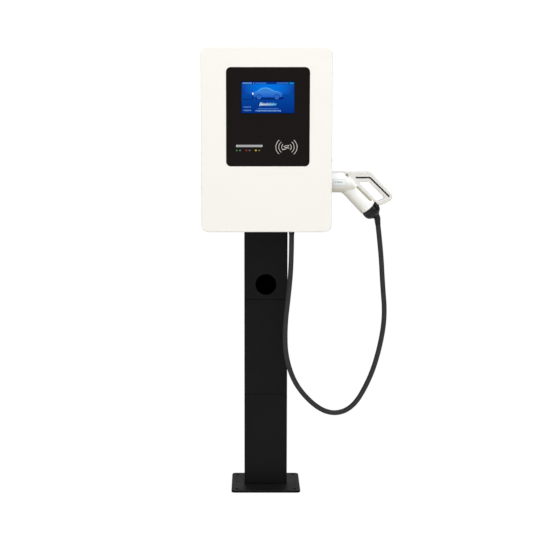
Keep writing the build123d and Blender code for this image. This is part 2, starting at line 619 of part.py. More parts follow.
def panel_carrier():
    """Moulded frame that holds the glass and everything behind it."""
    door_inside = DOOR_FRONT + SHEET
    outer = facing(RectangleRounded(PANEL_W + 20, PANEL_H + 20, PANEL_R + 5), PANEL_X, PANEL_Z,
                   door_inside, CARRIER_BACK)
    outer -= facing(RectangleRounded(PANEL_W + 0.6, PANEL_H + 0.6, PANEL_R), PANEL_X, PANEL_Z,
                    door_inside - 1, GLASS_BACK)
    far = (GLASS_BACK - 1, CARRIER_BACK + 1)
    outer -= facing(Rectangle(LCD_W + 17, LCD_H + 17), PANEL_X, LCD_Z, *far)
    outer -= facing(Rectangle(BAR_W + 8, BAR_H + 8), BAR_X, BAR_Z, *far)
    return outer - facing(Rectangle(80, 9), LED_XS[1], LED_Z - 0.5, *far)


def lcd_module():
    face = facing(Rectangle(LCD_W, LCD_H), PANEL_X, LCD_Z, GLASS_FRONT + 0.4, GLASS_BACK)
    chassis = facing(Rectangle(LCD_W + 16, LCD_H + 16), PANEL_X, LCD_Z, GLASS_BACK, CARRIER_BACK + 2)
    return face + chassis


def light_bar():
    lens = facing(SlotOverall(BAR_W, BAR_H), BAR_X, BAR_Z, GLASS_FRONT + 0.2, GLASS_BACK)
    return lens + facing(Rectangle(BAR_W + 6, BAR_H + 6), BAR_X, BAR_Z, GLASS_BACK, GLASS_BACK + 4)


def led_lens(x):
    dome = rod(LED_R, "y", x, GLASS_FRONT - 0.2, LED_Z, GLASS_T + 0.2)
    dome = fillet(dome.edges().sort_by(Axis.Y)[0], 0.8)
    return dome + rod(LED_R + 0.9, "y", x, GLASS_BACK, LED_Z, 4)


def hmi_board():
    """Display driver board on the back of the screen."""
    y0 = CARRIER_BACK + 2
    board = block(PANEL_X - 85, PANEL_X + 85, y0 + 4, y0 + 5.6, LCD_Z - 48, LCD_Z + 48)
    for x in (-78, 78):
        for z in (-42, 42):
            board += rod(3.0, "y", PANEL_X + x, y0, LCD_Z + z, 4)
    board += block(PANEL_X - 20, PANEL_X + 10, y0 + 5.6, y0 + 8.5, LCD_Z - 15, LCD_Z + 15)
    board += block(PANEL_X - 80, PANEL_X - 50, y0 + 5.6, y0 + 12, LCD_Z - 46, LCD_Z - 38)
    return board + block(PANEL_X + 30, PANEL_X + 80, y0 + 5.6, y0 + 13, LCD_Z + 30, LCD_Z + 44)


def led_board():
    """Strip board behind the light bar and the three indicators."""
    y0 = GLASS_BACK + 4
    back = CARRIER_BACK
    board = block(BAR_X - 50, BAR_X + 50, back, back + 1.6, LED_Z - 10, BAR_Z + 12)
    for x in LED_XS:
        board += rod(2.0, "y", x, y0, LED_Z, back - y0)
    for i in range(6):
        x = BAR_X - 37.5 + i * 15
        board += block(x - 2, x + 2, y0, back, BAR_Z - 2, BAR_Z + 2)
    return board


def rfid_reader():
    y0 = CARRIER_BACK
    board = facing(RectangleRounded(78, 56, 3), READER_X, READER_Z, y0, y0 + 2)
    board += block(READER_X - 14, READER_X + 14, y0 + 2, y0 + 5, READER_Z - 10, READER_Z + 10)
    return board + block(READER_X + 20, READER_X + 34, y0 + 2, y0 + 9, READER_Z - 24, READER_Z - 16)


def door_striker():
    """Bracket on the door; the locked cam turns down in front of its lip."""
    x0 = SHELL_HALF - 17.5
    low, high = LOCK_Z - 27, LOCK_Z - 12
    plate = block(x0, x0 + 2, DOOR_BACK - 4, LOCK_Y + 9.5, low, high)
    foot = block(x0, x0 + 18, DOOR_BACK - 4, DOOR_BACK - 2, low, high)
    lip = block(x0 - 10, x0 + 2, LOCK_Y + 7.5, LOCK_Y + 9.5, low, high)
    return plate + foot + lip


# ---- connector ------------------------------------------------------------------------
def in_side_view(points):
    """Closed face from points measured right of and above the dock's mouth."""
    return make_face(Polyline(*points, close=True))


GRIP_DIR = Vector(math.cos(math.radians(GRIP_ANGLE)), 0, -math.sin(math.radians(GRIP_ANGLE)))
GRIP_UP = Vector(math.sin(math.radians(GRIP_ANGLE)), 0, math.cos(math.radians(GRIP_ANGLE)))
GRIP_TIP = Vector(SHELL_HALF + GRIP_END[0], DOCK_Y, DOCK_Z + GRIP_END[1])


def along_grip(distance):
    """Plane across the grip's axis, at a distance back from the grip's tip."""
    return Plane(origin=GRIP_TIP + GRIP_DIR * distance, x_dir=GRIP_UP, z_dir=GRIP_DIR)


# Guard loop and barrel seen from the front, right of and above the dock's mouth.
GUARD_OUTLINE = [(52, 35.2), (97, 32.6), (144.0, 35.6), (221, -45), (217.5, -61), (180, -78.6),
                 (175.6, -79.0), (158, -62), (120, -45), (52, 8)]
GUARD_OPENING = [(104, 1.0), (142.5, 1.0), (197.5, -54.5), (170.5, -66.0), (165.5, -61.0)]
GUARD_STRIPE = [(96.7, 14.6), (144.8, 14.6), (210.5, -49.5)]
STRIPE_W = 5.0
BARREL_END = [(66.1, 17.8), (95.3, -15.8), (83.3, -30.3)]
BARREL_BLEND = 20.0                             # radius under the barrel, where the grip leaves it
RECESS = [(-75, 19.5), (-13.5, 21.5)]           # grip recess, along the grip and above its axis
RECESS_W, RECESS_FLOOR = 8.5, 15.0              # floor measured from the connector's middle plane
GUARD_RIM = 2.8                                 # edge radius of the guard loop


def guard_face():
    outline = in_side_view(GUARD_OUTLINE)
    outline = fillet(outline.vertices().sort_by(Axis.X)[-2:], 11.0)
    corner = outline.vertices().sort_by_distance(GUARD_OUTLINE[2] + (0,))[0]
    outline = fillet(corner, 14.0)
    opening = in_side_view(GUARD_OPENING)
    return outline - fillet(opening.vertices(), 4.5)


def stripe_face(width):
    line = FilletPolyline(*GUARD_STRIPE, radius=8.0)
    return trace(line, width)


def grip_solid(a, b, short):
    bar = extrude(along_grip(-GRIP_LEN) * Ellipse(a, b), amount=GRIP_LEN + GRIP_BULGE + 1)
    return bar & grip_end_dome(short)


BARREL_X0 = SHELL_HALF - 13


def beyond(start, end, extra):
    """Point past the end of a line."""
    run = math.dist(start, end)
    return tuple(e + (e - s) / run * extra for s, e in zip(start, end))


def barrel_solid(radius, x0, inset=0.0):
    """Round barrel whose end is cut to an arrow, seen from the side."""
    upper, tip, lower = BARREL_END
    reach = radius + 40
    side = [(-60, reach), beyond(tip, upper, reach), tip, beyond(tip, lower, reach), (-60, -reach)]
    side = [(x - inset, z) for x, z in side]
    cut = facing(in_side_view(side), SHELL_HALF, DOCK_Z, DOCK_Y - reach, DOCK_Y + reach)
    return rod(radius, "x", x0, DOCK_Y, DOCK_Z, 160) & cut


def body_solid():
    """Barrel and grip, blended underneath."""
    barrel = barrel_solid(BARREL_R, BARREL_X0)
    ends = [e for e in barrel.edges() if e.geom_type == GeomType.ELLIPSE]
    form = chamfer(ends, 1.2) + grip_solid(GRIP_A, GRIP_B, 0)
    corner = Vector(SHELL_HALF + 63.4, DOCK_Y, DOCK_Z - 30.4)
    under = form.edges().filter_by(GeomType.BSPLINE).sort_by_distance(corner)[:2]
    return fillet(under, BARREL_BLEND)


COLLAR_LEN = 8.0


def grip_end_dome(short=0.0):
    """Everything on the grip's side of its domed end."""
    centre = along_grip(GRIP_BULGE - GRIP_END_R).origin
    return rod(GRIP_END_R - short, "y", centre.X, DOCK_Y - 60, centre.Z, 120)


def grip_collar():
    """Raised band round the grip's end, under the gland nut."""
    band = extrude(along_grip(-COLLAR_LEN) * Ellipse(GRIP_A + 0.5, GRIP_B + 0.5),
                   amount=COLLAR_LEN + GRIP_BULGE + 1)
    return (band & grip_end_dome()) - grip_end_dome(COLLAR_LEN)


def nut_seat():
    """Room for the gland nut beside the guard loop."""
    return extrude(along_grip(0) * Circle(NUT_R + 1.6), amount=NUT_LEN) - grip_end_dome()


BUTTON_X, BUTTON_L, BUTTON_W, BUTTON_TRAVEL = SHELL_HALF + 97, 34.0, 15.0, 3.0


def button_well(grow):
    """Stadium-shaped well for the latch button, seen from above."""
    shape = extrude(SlotOverall(BUTTON_L + 2 * grow, BUTTON_W + 2 * grow), amount=16)
    return Pos(BUTTON_X, DOCK_Y, DOCK_Z + 20) * shape


def connector_outer():
    """Whole outer form of the connector, before it is split into two shells."""
    guard = facing(guard_face(), SHELL_HALF, DOCK_Z, DOCK_Y - HANDLE_T / 2, DOCK_Y + HANDLE_T / 2)
    rims = guard.faces().sort_by(Axis.Y)
    guard = fillet(rims[0].edges() + rims[-1].edges(), GUARD_RIM)
    return body_solid() + grip_collar() + guard


SHELL_SCREWS = [(66.7, 24.2), (130, 24), (206, -59), (72, -18)]
GUN_WALL = 3.0


def recess_tool(side, width, floor):
    """Slot-shaped cutter for the grip recess, from outside down to its floor."""
    (d0, n0), (d1, n1) = RECESS
    run = GRIP_DIR * (d1 - d0) + GRIP_UP * (n1 - n0)
    middle = GRIP_TIP + GRIP_DIR * ((d0 + d1) / 2) + GRIP_UP * ((n0 + n1) / 2)
    plane = Plane(origin=middle + Vector(0, side * 40, 0), x_dir=run, z_dir=(0, -side, 0))
    return extrude(plane * SlotCenterToCenter(run.length, width), amount=40 - floor)


def connector_shell():
    outer = connector_outer()
    core = barrel_solid(BARREL_R - GUN_WALL, BARREL_X0 - 1, 1.5 * GUN_WALL)
    core += grip_solid(GRIP_A - GUN_WALL, GRIP_B - GUN_WALL, 2 * GUN_WALL)
    shell = outer - core
    for x, z in SHELL_SCREWS:
        place = (SHELL_HALF + x, DOCK_Z + z)
        shell += (rod(5.0, "y", place[0], DOCK_Y - 24, place[1], 48) & outer)
    for x, z in SHELL_SCREWS[1:]:
        place = (SHELL_HALF + x, DOCK_Z + z)
        shell -= rod(1.6, "y", place[0], DOCK_Y - 10, place[1], 20)
        shell -= rod(3.8, "y", place[0], DOCK_Y + 8, place[1], 40)
    dot = (SHELL_HALF + SHELL_SCREWS[0][0], DOCK_Z + SHELL_SCREWS[0][1])
    shell -= rod(1.6, "y", dot[0], DOCK_Y - 24, dot[1], 40)
    shell -= rod(4.0, "y", dot[0], DOCK_Y - 45, dot[1], 23)
    shell = shell - button_well(0.3) - nut_seat()
    for side in (-1, 1):
        y0, y1 = sorted((DOCK_Y + side * (HANDLE_T / 2 - 1.2), DOCK_Y + side * (HANDLE_T / 2 + 1)))
        shell -= facing(stripe_face(STRIPE_W + 0.2), SHELL_HALF, DOCK_Z, y0, y1)
        wall = recess_tool(side, RECESS_W + 2 * GUN_WALL, RECESS_FLOOR - GUN_WALL)
        shell = shell + (wall & outer) - recess_tool(side, RECESS_W, RECESS_FLOOR)
    return shell


def half_of(solid, front):
    y0, y1 = (DOCK_Y - 80, DOCK_Y) if front else (DOCK_Y, DOCK_Y + 80)
    return solid & block(0, 600, y0, y1, 700, 1300)


def connector_screws():
    """Screws that close the shells from behind, and one through the front."""
    screws = []
    for x, z in SHELL_SCREWS[1:]:
        place = (SHELL_HALF + x, DOCK_Z + z)
        screws.append(rod(1.5, "y", place[0], DOCK_Y - 9, place[1], 17)
                      + rod(3.5, "y", place[0], DOCK_Y + 8, place[1], 3))
    x, z = SHELL_SCREWS[0]
    screws.append(rod(1.5, "y", SHELL_HALF + x, DOCK_Y - 22, DOCK_Z + z, 36)
                  + rod(3.7, "y", SHELL_HALF + x, DOCK_Y - 24.6, DOCK_Z + z, 2.6))
    return screws


def guard_stripes():
    """Black inlays in both faces of the guard loop."""
    return [facing(stripe_face(STRIPE_W), SHELL_HALF, DOCK_Z, *sorted(
        (DOCK_Y + side * (HANDLE_T / 2 - 1.2), DOCK_Y + side * (HANDLE_T / 2 + 0.3))))
        for side in (-1, 1)]


def release_button():
    """Latch button in the dip of the connector's top."""
    top = DOCK_Z + 34.6
    shape = extrude(SlotOverall(BUTTON_L, BUTTON_W), amount=top - DOCK_Z - 24)
    button = Pos(BUTTON_X, DOCK_Y, DOCK_Z + 24) * shape
    return fillet(button.faces().sort_by(Axis.Z)[-1].edges(), 1.2)


NOSE_X0, NOSE_R = SHELL_HALF - 62, 32.0
PIN_PLACES = [(0, 12, 6.0), (0, -12, 6.0), (15, 0, 4.0), (-15, 0, 4.0), (22, 9, 1.5), (22, -9, 1.5),
              (-22, 9, 1.5), (-22, -9, 1.5), (0, 0, 1.5)]  # above, in front of the axis, radius


def connector_nose():
    """Insulator with a shrouded cavity for each contact."""
    nose = rod(NOSE_R, "x", NOSE_X0, DOCK_Y, DOCK_Z, 70)
    nose = fillet(nose.edges().sort_by(Axis.X)[0], 2.0)
    for up, across, r in PIN_PLACES:
        nose -= rod(r + 2.2, "x", NOSE_X0 - 1, DOCK_Y + across, DOCK_Z + up, 41)
    return nose


def contact_pins():
    pins = []
    for up, across, r in PIN_PLACES:
        pin = rod(r, "x", NOSE_X0 + 6, DOCK_Y + across, DOCK_Z + up, 34)
        pins.append(fillet(pin.edges().sort_by(Axis.X)[0], r * 0.4))
    return pins


def gland_nut():
    """Ribbed nut that clamps the cable at the end of the grip."""
    profile = [(0, 0), (NUT_R - 1, 0), (NUT_R, 6), (NUT_R, 20), (27.4, 26), (23.6, 32), (18.2, 37),
               (12.5, NUT_LEN), (0, NUT_LEN)]
    nut = revolve(Plane.XZ * make_face(Polyline(*profile, close=True)), Axis.Z)
    rib_line = [(20, 8), (30.1, 8), (30.1, 20), (28.3, 26.5), (24.4, 32.6), (20, 36)]
    rib = extrude(Plane.XZ * make_face(Polyline(*rib_line, close=True)), amount=1.3, both=True)
    for i in range(18):
        nut += Rot(0, 0, 20 * i) * rib
    return along_grip(0).location * nut - grip_end_dome()


def bend_sleeve():
    """Short rubber sleeve that turns the cable downwards out of the nut."""
    start = GRIP_TIP + GRIP_DIR * NUT_LEN
    end = Vector(*CABLE_ROUTE[-1])
    away = Vector(*CABLE_ROUTE[-2]) - end
    arc = Spline(start, end, tangents=(GRIP_DIR, away.normalized()))
    return sweep(along_grip(NUT_LEN) * Circle(SLEEVE_R), path=arc)


def charging_cable():
    path, radii = tube_path(CABLE_ROUTE)
    first = Vector(*CABLE_ROUTE[1]) - Vector(*CABLE_ROUTE[0])
    section = Plane(origin=CABLE_ROUTE[0], z_dir=first) * Circle(CABLE_D / 2)
    tube = sweep(section, path=path, transition=Transition.ROUND)
    expected = math.pi * CABLE_D ** 2 / 4 * path.length
    print("cable length", round(path.length), "radii", [round(r) for r in radii],
          "volume / section x length", round(tube.volume / expected, 4))
    return tube


# ---- assembly -----------------------------------------------------------------------------
def make_parts():
    shell = connector_shell()
    lower, middle, _ = cover_spans()
    parts = {
        "base_plate": base_plate(),
        "column_spine": column_spine(),
        "column_cover_lower": column_cover(*lower),
        "column_cover_middle": column_cover(*middle),
        "column_cover_upper": column_cover_upper(),
        "cover_screws": cover_screws(),
        "column_cap": column_cap(),
        "cabinet_bracket": cabinet_bracket(),
        "cabinet_fixings": bracket_bolts() + board_standoffs() + holster_screws(),
        "cabinet_shell": cabinet_shell(),
        "gland_plate": gland_plate(),
        "door_gasket": door_gasket(),
        "supply_grommet": supply_grommet(),
        "hinge_leaves_cabinet": hinge_leaves_cabinet(),
        "hinge_pins": hinge_pins(),
        "exhaust_grille": grille(1, EXHAUST_Z),
        "intake_grille": grille(-1, INTAKE_Z),
        "mounting_panel": mounting_panel(),
        "power_module": power_module(),
        "control_board": control_board(),
        "aux_power_supply": aux_power_supply(),
        "din_rail": din_rail(),
        "main_breaker": main_breaker(),
        "breaker_toggle": breaker_toggle(),
        "energy_meter": energy_meter(),
        "terminal_block": terminal_block(),
        "dc_contactors": dc_contactors(),
        "earth_bar": earth_bar(),
        "fan_frames": fan_frames(),
        "fan_rotor_lower": fan_rotor(FAN_ZS[0]),
        "fan_rotor_upper": fan_rotor(FAN_ZS[1]),
        "connector_holster": connector_holster(),
        "output_gland_body": output_gland_body(),
        "output_gland_nut": output_gland_nut(),
        "output_locknut": output_locknut(),
        "lock_housing": lock_housing(),
        "lock_cylinder": lock_cylinder(),
        "lock_cam": lock_cam(),
        "door_panel": door_panel(),
        "hinge_leaves_door": hinge_leaves_door(),
        "display_glass": display_glass(),
        "panel_carrier": panel_carrier(),
        "lcd_module": lcd_module(),
        "light_bar": light_bar(),
        "led_green": led_lens(LED_XS[0]),
        "led_red": led_lens(LED_XS[1]),
        "led_yellow": led_lens(LED_XS[2]),
        "door_boards": [hmi_board(), led_board(), rfid_reader()],
        "door_striker": door_striker(),
        "connector_shell_front": half_of(shell, True),
        "connector_shell_back": half_of(shell, False),
        "connector_screws": connector_screws(),
        "guard_stripes": guard_stripes(),
        "release_button": release_button(),
        "connector_nose": connector_nose(),
        "contact_pins": contact_pins(),
        "gland_nut": gland_nut(),
        "bend_sleeve": bend_sleeve(),
        "charging_cable": charging_cable(),
    }
    return parts


def main():
    os.makedirs("parts", exist_ok=True)
    for name, shape in make_parts().items():
        solids = ShapeList(s for piece in (shape if isinstance(shape, list) else [shape])
                           for s in piece.solids())
        export_step(solids[0] if len(solids) == 1 else Compound(children=list(solids)),
                    f"parts/{name}.step")


main()
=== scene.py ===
import json
import math

import bmesh
import bpy
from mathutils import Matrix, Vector


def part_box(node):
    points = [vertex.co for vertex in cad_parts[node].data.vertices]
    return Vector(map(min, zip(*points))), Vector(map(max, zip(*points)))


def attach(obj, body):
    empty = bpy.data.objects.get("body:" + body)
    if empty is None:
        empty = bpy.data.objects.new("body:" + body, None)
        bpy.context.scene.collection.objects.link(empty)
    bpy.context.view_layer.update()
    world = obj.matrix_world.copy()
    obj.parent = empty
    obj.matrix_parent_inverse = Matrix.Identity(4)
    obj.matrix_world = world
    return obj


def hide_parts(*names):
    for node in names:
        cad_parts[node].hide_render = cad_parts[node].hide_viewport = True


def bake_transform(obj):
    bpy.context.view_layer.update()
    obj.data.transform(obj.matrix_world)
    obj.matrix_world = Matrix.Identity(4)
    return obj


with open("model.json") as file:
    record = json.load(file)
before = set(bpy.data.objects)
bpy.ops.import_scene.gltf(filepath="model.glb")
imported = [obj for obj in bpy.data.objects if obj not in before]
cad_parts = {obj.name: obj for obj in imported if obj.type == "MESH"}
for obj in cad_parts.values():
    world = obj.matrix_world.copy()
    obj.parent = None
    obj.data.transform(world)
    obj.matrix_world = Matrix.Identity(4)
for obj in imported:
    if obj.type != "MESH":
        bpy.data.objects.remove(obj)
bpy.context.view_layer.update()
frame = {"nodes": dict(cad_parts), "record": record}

NODES = frame["nodes"]
SCENE = bpy.context.scene
MM = 0.001
DOCK = Vector((203.0, -102.0, 1080.0)) * MM     # mouth of the connector's dock


# ---- camera ----------------------------------------------------------------
LENS = 76.6
LENS_SHIFT = 0.0316             # makes up for the camera standing left of the post's middle
CAMERA_PLACE = (-0.045, -3.9792, 1.2568)
CAMERA_TILT = 83.0              # degrees; 90 would look level


def make_camera():
    """Camera that looks a little down on the post, as in the photograph."""
    data = bpy.data.cameras.new("camera")
    data.sensor_width = 36.0
    data.lens = LENS
    data.shift_x = LENS_SHIFT
    data.clip_end = 60.0
    cam = bpy.data.objects.new("camera", data)
    cam.location = CAMERA_PLACE
    cam.rotation_euler = (math.radians(CAMERA_TILT), 0.0, 0.0)
    SCENE.collection.objects.link(cam)
    SCENE.camera = cam


make_camera()


# ---- node material helpers ---------------------------------------------------
def lin(*display):
    """Linear colour from display values of 0 to 255."""
    return tuple(((c / 255 + 0.055) / 1.055) ** 2.4 if c > 10 else c / 255 / 12.92 for c in display)


class Shader:
    """A Principled material with object-space coordinates to hang detail on."""

    def __init__(self, name, color, rough, metallic=0.0, specular=0.5, coat=0.0, coat_rough=0.1):
        self.mat = bpy.data.materials.new(name)
        self.mat.use_nodes = True
        self.mat.diffuse_color = (*color, 1.0)
        self.tree = self.mat.node_tree
        self.bsdf = self.tree.nodes["Principled BSDF"]
        self.color = color
        self.set("Base Color", (*color, 1.0))
        self.set("Roughness", rough)
        self.set("Metallic", metallic)
        self.set("Specular IOR Level", specular)
        self.set("Coat Weight", coat)
        self.set("Coat Roughness", coat_rough)
        self.coords = self.node("ShaderNodeTexCoord").outputs["Object"]
        self.height = None

    def set(self, socket, value):
        """Value of one of the Principled shader's inputs."""
        self.bsdf.inputs[socket].default_value = value

    def node(self, kind, **values):
        """New node with the given properties."""
        made = self.tree.nodes.new(kind)
        for key, value in values.items():
            setattr(made, key, value)
        return made

    def link(self, a, b):
        self.tree.links.new(a, b)

    def stretched(self, scale):
        """Coordinates scaled by axis, for grain that runs one way."""
        mapping = self.node("ShaderNodeMapping")
        mapping.inputs["Scale"].default_value = scale
        self.link(self.coords, mapping.inputs["Vector"])
        return mapping.outputs["Vector"]

    def noise(self, scale, detail=3.0, rough=0.5, stretch=None, distort=0.0):
        """Noise over the object, mostly between 0.3 and 0.7."""
        tex = self.node("ShaderNodeTexNoise")
        tex.inputs["Scale"].default_value = scale
        tex.inputs["Detail"].default_value = detail
        tex.inputs["Roughness"].default_value = rough
        tex.inputs["Distortion"].default_value = distort
        self.link(self.stretched(stretch) if stretch else self.coords, tex.inputs["Vector"])
        return tex.outputs["Fac"]

    def remap(self, value, low, high, from_low=0.3, from_high=0.7, clamp=True):
        """Socket with from_low to from_high brought to low to high."""
        ramp = self.node("ShaderNodeMapRange", clamp=clamp)
        ramp.inputs["From Min"].default_value = from_low
        ramp.inputs["From Max"].default_value = from_high
        ramp.inputs["To Min"].default_value = low
        ramp.inputs["To Max"].default_value = high
        self.link(value, ramp.inputs["Value"])
        return ramp.outputs["Result"]

    def math(self, operation, a, b=None):
        """Socket with the result of a math node on sockets or numbers."""
        made = self.node("ShaderNodeMath", operation=operation)
        for i, term in enumerate((a, b)):
            if term is None:
                continue
            if isinstance(term, (int, float)):
                made.inputs[i].default_value = term
            else:
                self.link(term, made.inputs[i])
        return made.outputs["Value"]

    def mix(self, factor, a, b):
        """Socket between two colours, a at factor 0 and b at 1."""
        made = self.node("ShaderNodeMix", data_type="RGBA")
        self.link(factor, made.inputs["Factor"])
        for socket, term in ((6, a), (7, b)):
            if isinstance(term, tuple):
                made.inputs[socket].default_value = (*term, 1.0)
            else:
                self.link(term, made.inputs[socket])
        return made.outputs[2]

    def vary_color(self, scale, amount, other=None, **noise):
        """Colour drifts towards another tone over the surface."""
        other = other or tuple(c * 0.6 for c in self.color)
        factor = self.remap(self.noise(scale, **noise), 0.0, amount)
        base = self.bsdf.inputs["Base Color"]
        start = base.links[0].from_socket if base.is_linked else self.color
        self.link(self.mix(factor, start, other), base)
        return self

    def vary_rough(self, scale, low, high, **noise):
        """Roughness drifts between low and high over the surface."""
        self.link(self.remap(self.noise(scale, **noise), low, high), self.bsdf.inputs["Roughness"])
        return self

    def bump(self, value, distance, strength=1.0):
        """Adds relief on top of what the material already has."""
        made = self.node("ShaderNodeBump")
        made.inputs["Distance"].default_value = distance
        made.inputs["Strength"].default_value = strength
        self.link(value, made.inputs["Height"])
        if self.height:
            self.link(self.height, made.inputs["Normal"])
        self.height = made.outputs["Normal"]
        self.link(self.height, self.bsdf.inputs["Normal"])
        return self

    def grain(self, scale, distance, strength=1.0, **noise):
        """Relief from noise."""
        return self.bump(self.noise(scale, **noise), distance, strength)

    def glow(self, color, strength):
        """Even emission."""
        self.set("Emission Color", (*color, 1.0))
        self.set("Emission Strength", strength)
        return self


def powder_coat(name, color, rough, specular=0.5, tone=0.05):
    """Fine orange peel, slight handling marks."""
    s = Shader(name, color, rough, specular=specular)
    s.vary_color(2.5, tone, detail=2.0)
    s.vary_color(260.0, tone * 0.8, detail=2.0)
    s.vary_rough(7.0, rough - 0.05, rough + 0.06, detail=5.0)
    s.grain(900.0, 0.00004, 0.5, detail=2.0)
    s.grain(330.0, 0.00005, 0.35, detail=1.0)
    return s


def moulded(name, color, rough, specular=0.45, grain=0.5, tone=0.10):
    """Injection-moulded plastic with a spark-eroded texture."""
    s = Shader(name, color, rough, specular=specular)
    s.vary_color(30.0, tone, detail=4.0)
    s.vary_rough(60.0, rough - 0.06, rough + 0.06, detail=3.0)
    s.grain(1500.0, 0.00004, grain, detail=3.0)
    return s


def metal(name, color, rough, stretch=(1.0, 1.0, 25.0), metallic=1.0):
    """Rolled or machined metal with grain along one axis."""
    s = Shader(name, color, rough, metallic=metallic)
    s.vary_color(4.0, 0.3, tuple(c * 0.75 for c in color), detail=5.0)
    s.vary_rough(90.0, rough - 0.08, rough + 0.12, stretch=stretch, detail=4.0)
    s.grain(220.0, 0.00003, 0.5, stretch=stretch, detail=4.0)
    return s


def zinc_plate():
    """Passivated zinc: large soft spangles with a faint yellow and blue drift."""
    s = metal("zinc_steel", (0.58, 0.59, 0.60), 0.34)
    cells = s.node("ShaderNodeTexVoronoi")
    cells.inputs["Scale"].default_value = 130.0
    s.link(s.coords, cells.inputs["Vector"])
    base = s.bsdf.inputs["Base Color"]
    drift = s.remap(cells.outputs["Distance"], 0.0, 0.35, 0.0, 0.9)
    s.link(s.mix(drift, base.links[0].from_socket, (0.66, 0.63, 0.52)), base)
    return s


def rubber(name, color, rough=0.62, tone=0.35):
    """Matt rubber with paler, worn patches."""
    s = Shader(name, color, rough, specular=0.35)
    s.vary_color(18.0, tone, tuple(min(1.0, c * 1.6 + 0.004) for c in color), detail=6.0)
    s.vary_rough(40.0, rough - 0.1, rough + 0.1, detail=5.0)
    s.grain(700.0, 0.00006, 0.6, detail=4.0)
    return s


# Depths, from front to back, that the parts standing on the circuit boards take up.
CONTROLLER_PARTS = (-120.0 * MM, -59.8 * MM)
DOOR_PARTS = (-177.9 * MM, -150.0 * MM)
UPPER_BOARD_Z = 1.28            # the door's board above this height
UPPER_BOARD_STEP = 5.7 * MM     # is this much further back


def circuit_board():
    """Solder mask with copper tracks under it, and dark parts standing on it."""
    s = Shader("board_green", (0.012, 0.085, 0.035), 0.35, coat=0.4)
    tracks = s.node("ShaderNodeTexVoronoi", feature="DISTANCE_TO_EDGE", distance="CHEBYCHEV")
    tracks.inputs["Scale"].default_value = 140.0
    s.link(s.coords, tracks.inputs["Vector"])
    edge = s.remap(tracks.outputs["Distance"], 1.0, 0.0, 0.02, 0.06)
    mask = s.mix(edge, (0.012, 0.085, 0.035), (0.035, 0.17, 0.06))
    place = s.node("ShaderNodeSeparateXYZ")
    s.link(s.coords, place.inputs["Vector"])
    depth, height = place.outputs["Y"], place.outputs["Z"]
    controller = s.math("MULTIPLY", s.math("LESS_THAN", depth, CONTROLLER_PARTS[1]),
                        s.math("GREATER_THAN", depth, CONTROLLER_PARTS[0]))
    step = s.math("MULTIPLY", s.math("GREATER_THAN", height, UPPER_BOARD_Z), UPPER_BOARD_STEP)
    on_door = s.math("GREATER_THAN", s.math("SUBTRACT", depth, step), DOOR_PARTS[0])
    on_door = s.math("MULTIPLY", on_door, s.math("LESS_THAN", depth, DOOR_PARTS[1]))
    parts = s.math("ADD", controller, on_door)
    s.link(s.mix(parts, mask, (0.022, 0.023, 0.026)), s.bsdf.inputs["Base Color"])
    s.bump(edge, 0.00005, 0.6)
    return s


def cable_jacket():
    """Thermoplastic jacket with scuffs that run round and along it."""
    s = Shader("cable_jacket", lin(42, 41, 42), 0.45, specular=0.4)
    s.vary_color(14.0, 0.5, lin(52, 51, 51), detail=6.0)
    s.vary_rough(30.0, 0.38, 0.58, detail=5.0)
    s.grain(420.0, 0.00008, 0.5, detail=4.0)
    s.grain(60.0, 0.0002, 0.35, detail=2.0)
    return s


def panel_glass():
    """Black back-printed glass with a trace of fingerprints."""
    s = Shader("panel_glass", lin(17, 11, 9), 0.22, specular=0.2, coat=0.06, coat_rough=0.06)
    s.vary_rough(9.0, 0.17, 0.28, detail=6.0)
    s.vary_color(300.0, 0.3, lin(21, 16, 13), detail=2.0)
    s.grain(45.0, 0.00001, 0.3, detail=2.0)
    return s


def lens(name, color, strength):
    """Lit indicator lens."""
    s = Shader(name, color, 0.3, specular=0.5)
    s.vary_color(500.0, 0.3, detail=2.0)
    s.vary_rough(300.0, 0.25, 0.38)
    return s.glow(color, strength)


def light_bar_lens():
    """Diffusing lens, brightest over the lamps at its two ends."""
    s = lens("bar_lens", (0.12, 0.12, 0.12), 1.0)
    low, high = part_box("light_bar")
    split = s.node("ShaderNodeSeparateXYZ")
    s.link(s.coords, split.inputs["Vector"])
    across = s.remap(split.outputs["X"], -1.0, 1.0, low.x + 3 * MM, high.x - 3 * MM)
    ends = s.remap(s.math("ABSOLUTE", across), 0.0, 1.0, 0.86, 1.0)
    s.link(s.mix(ends, lin(140, 140, 141), lin(180, 188, 190)), s.bsdf.inputs["Emission Color"])
    return s


LCD = Vector((-82.0, -191.1, 1308.0)) * MM, Vector((90.0, -191.1, 1408.8)) * MM    # lit area
HORIZON = 0.39                  # down from the picture's top, as a share of its height


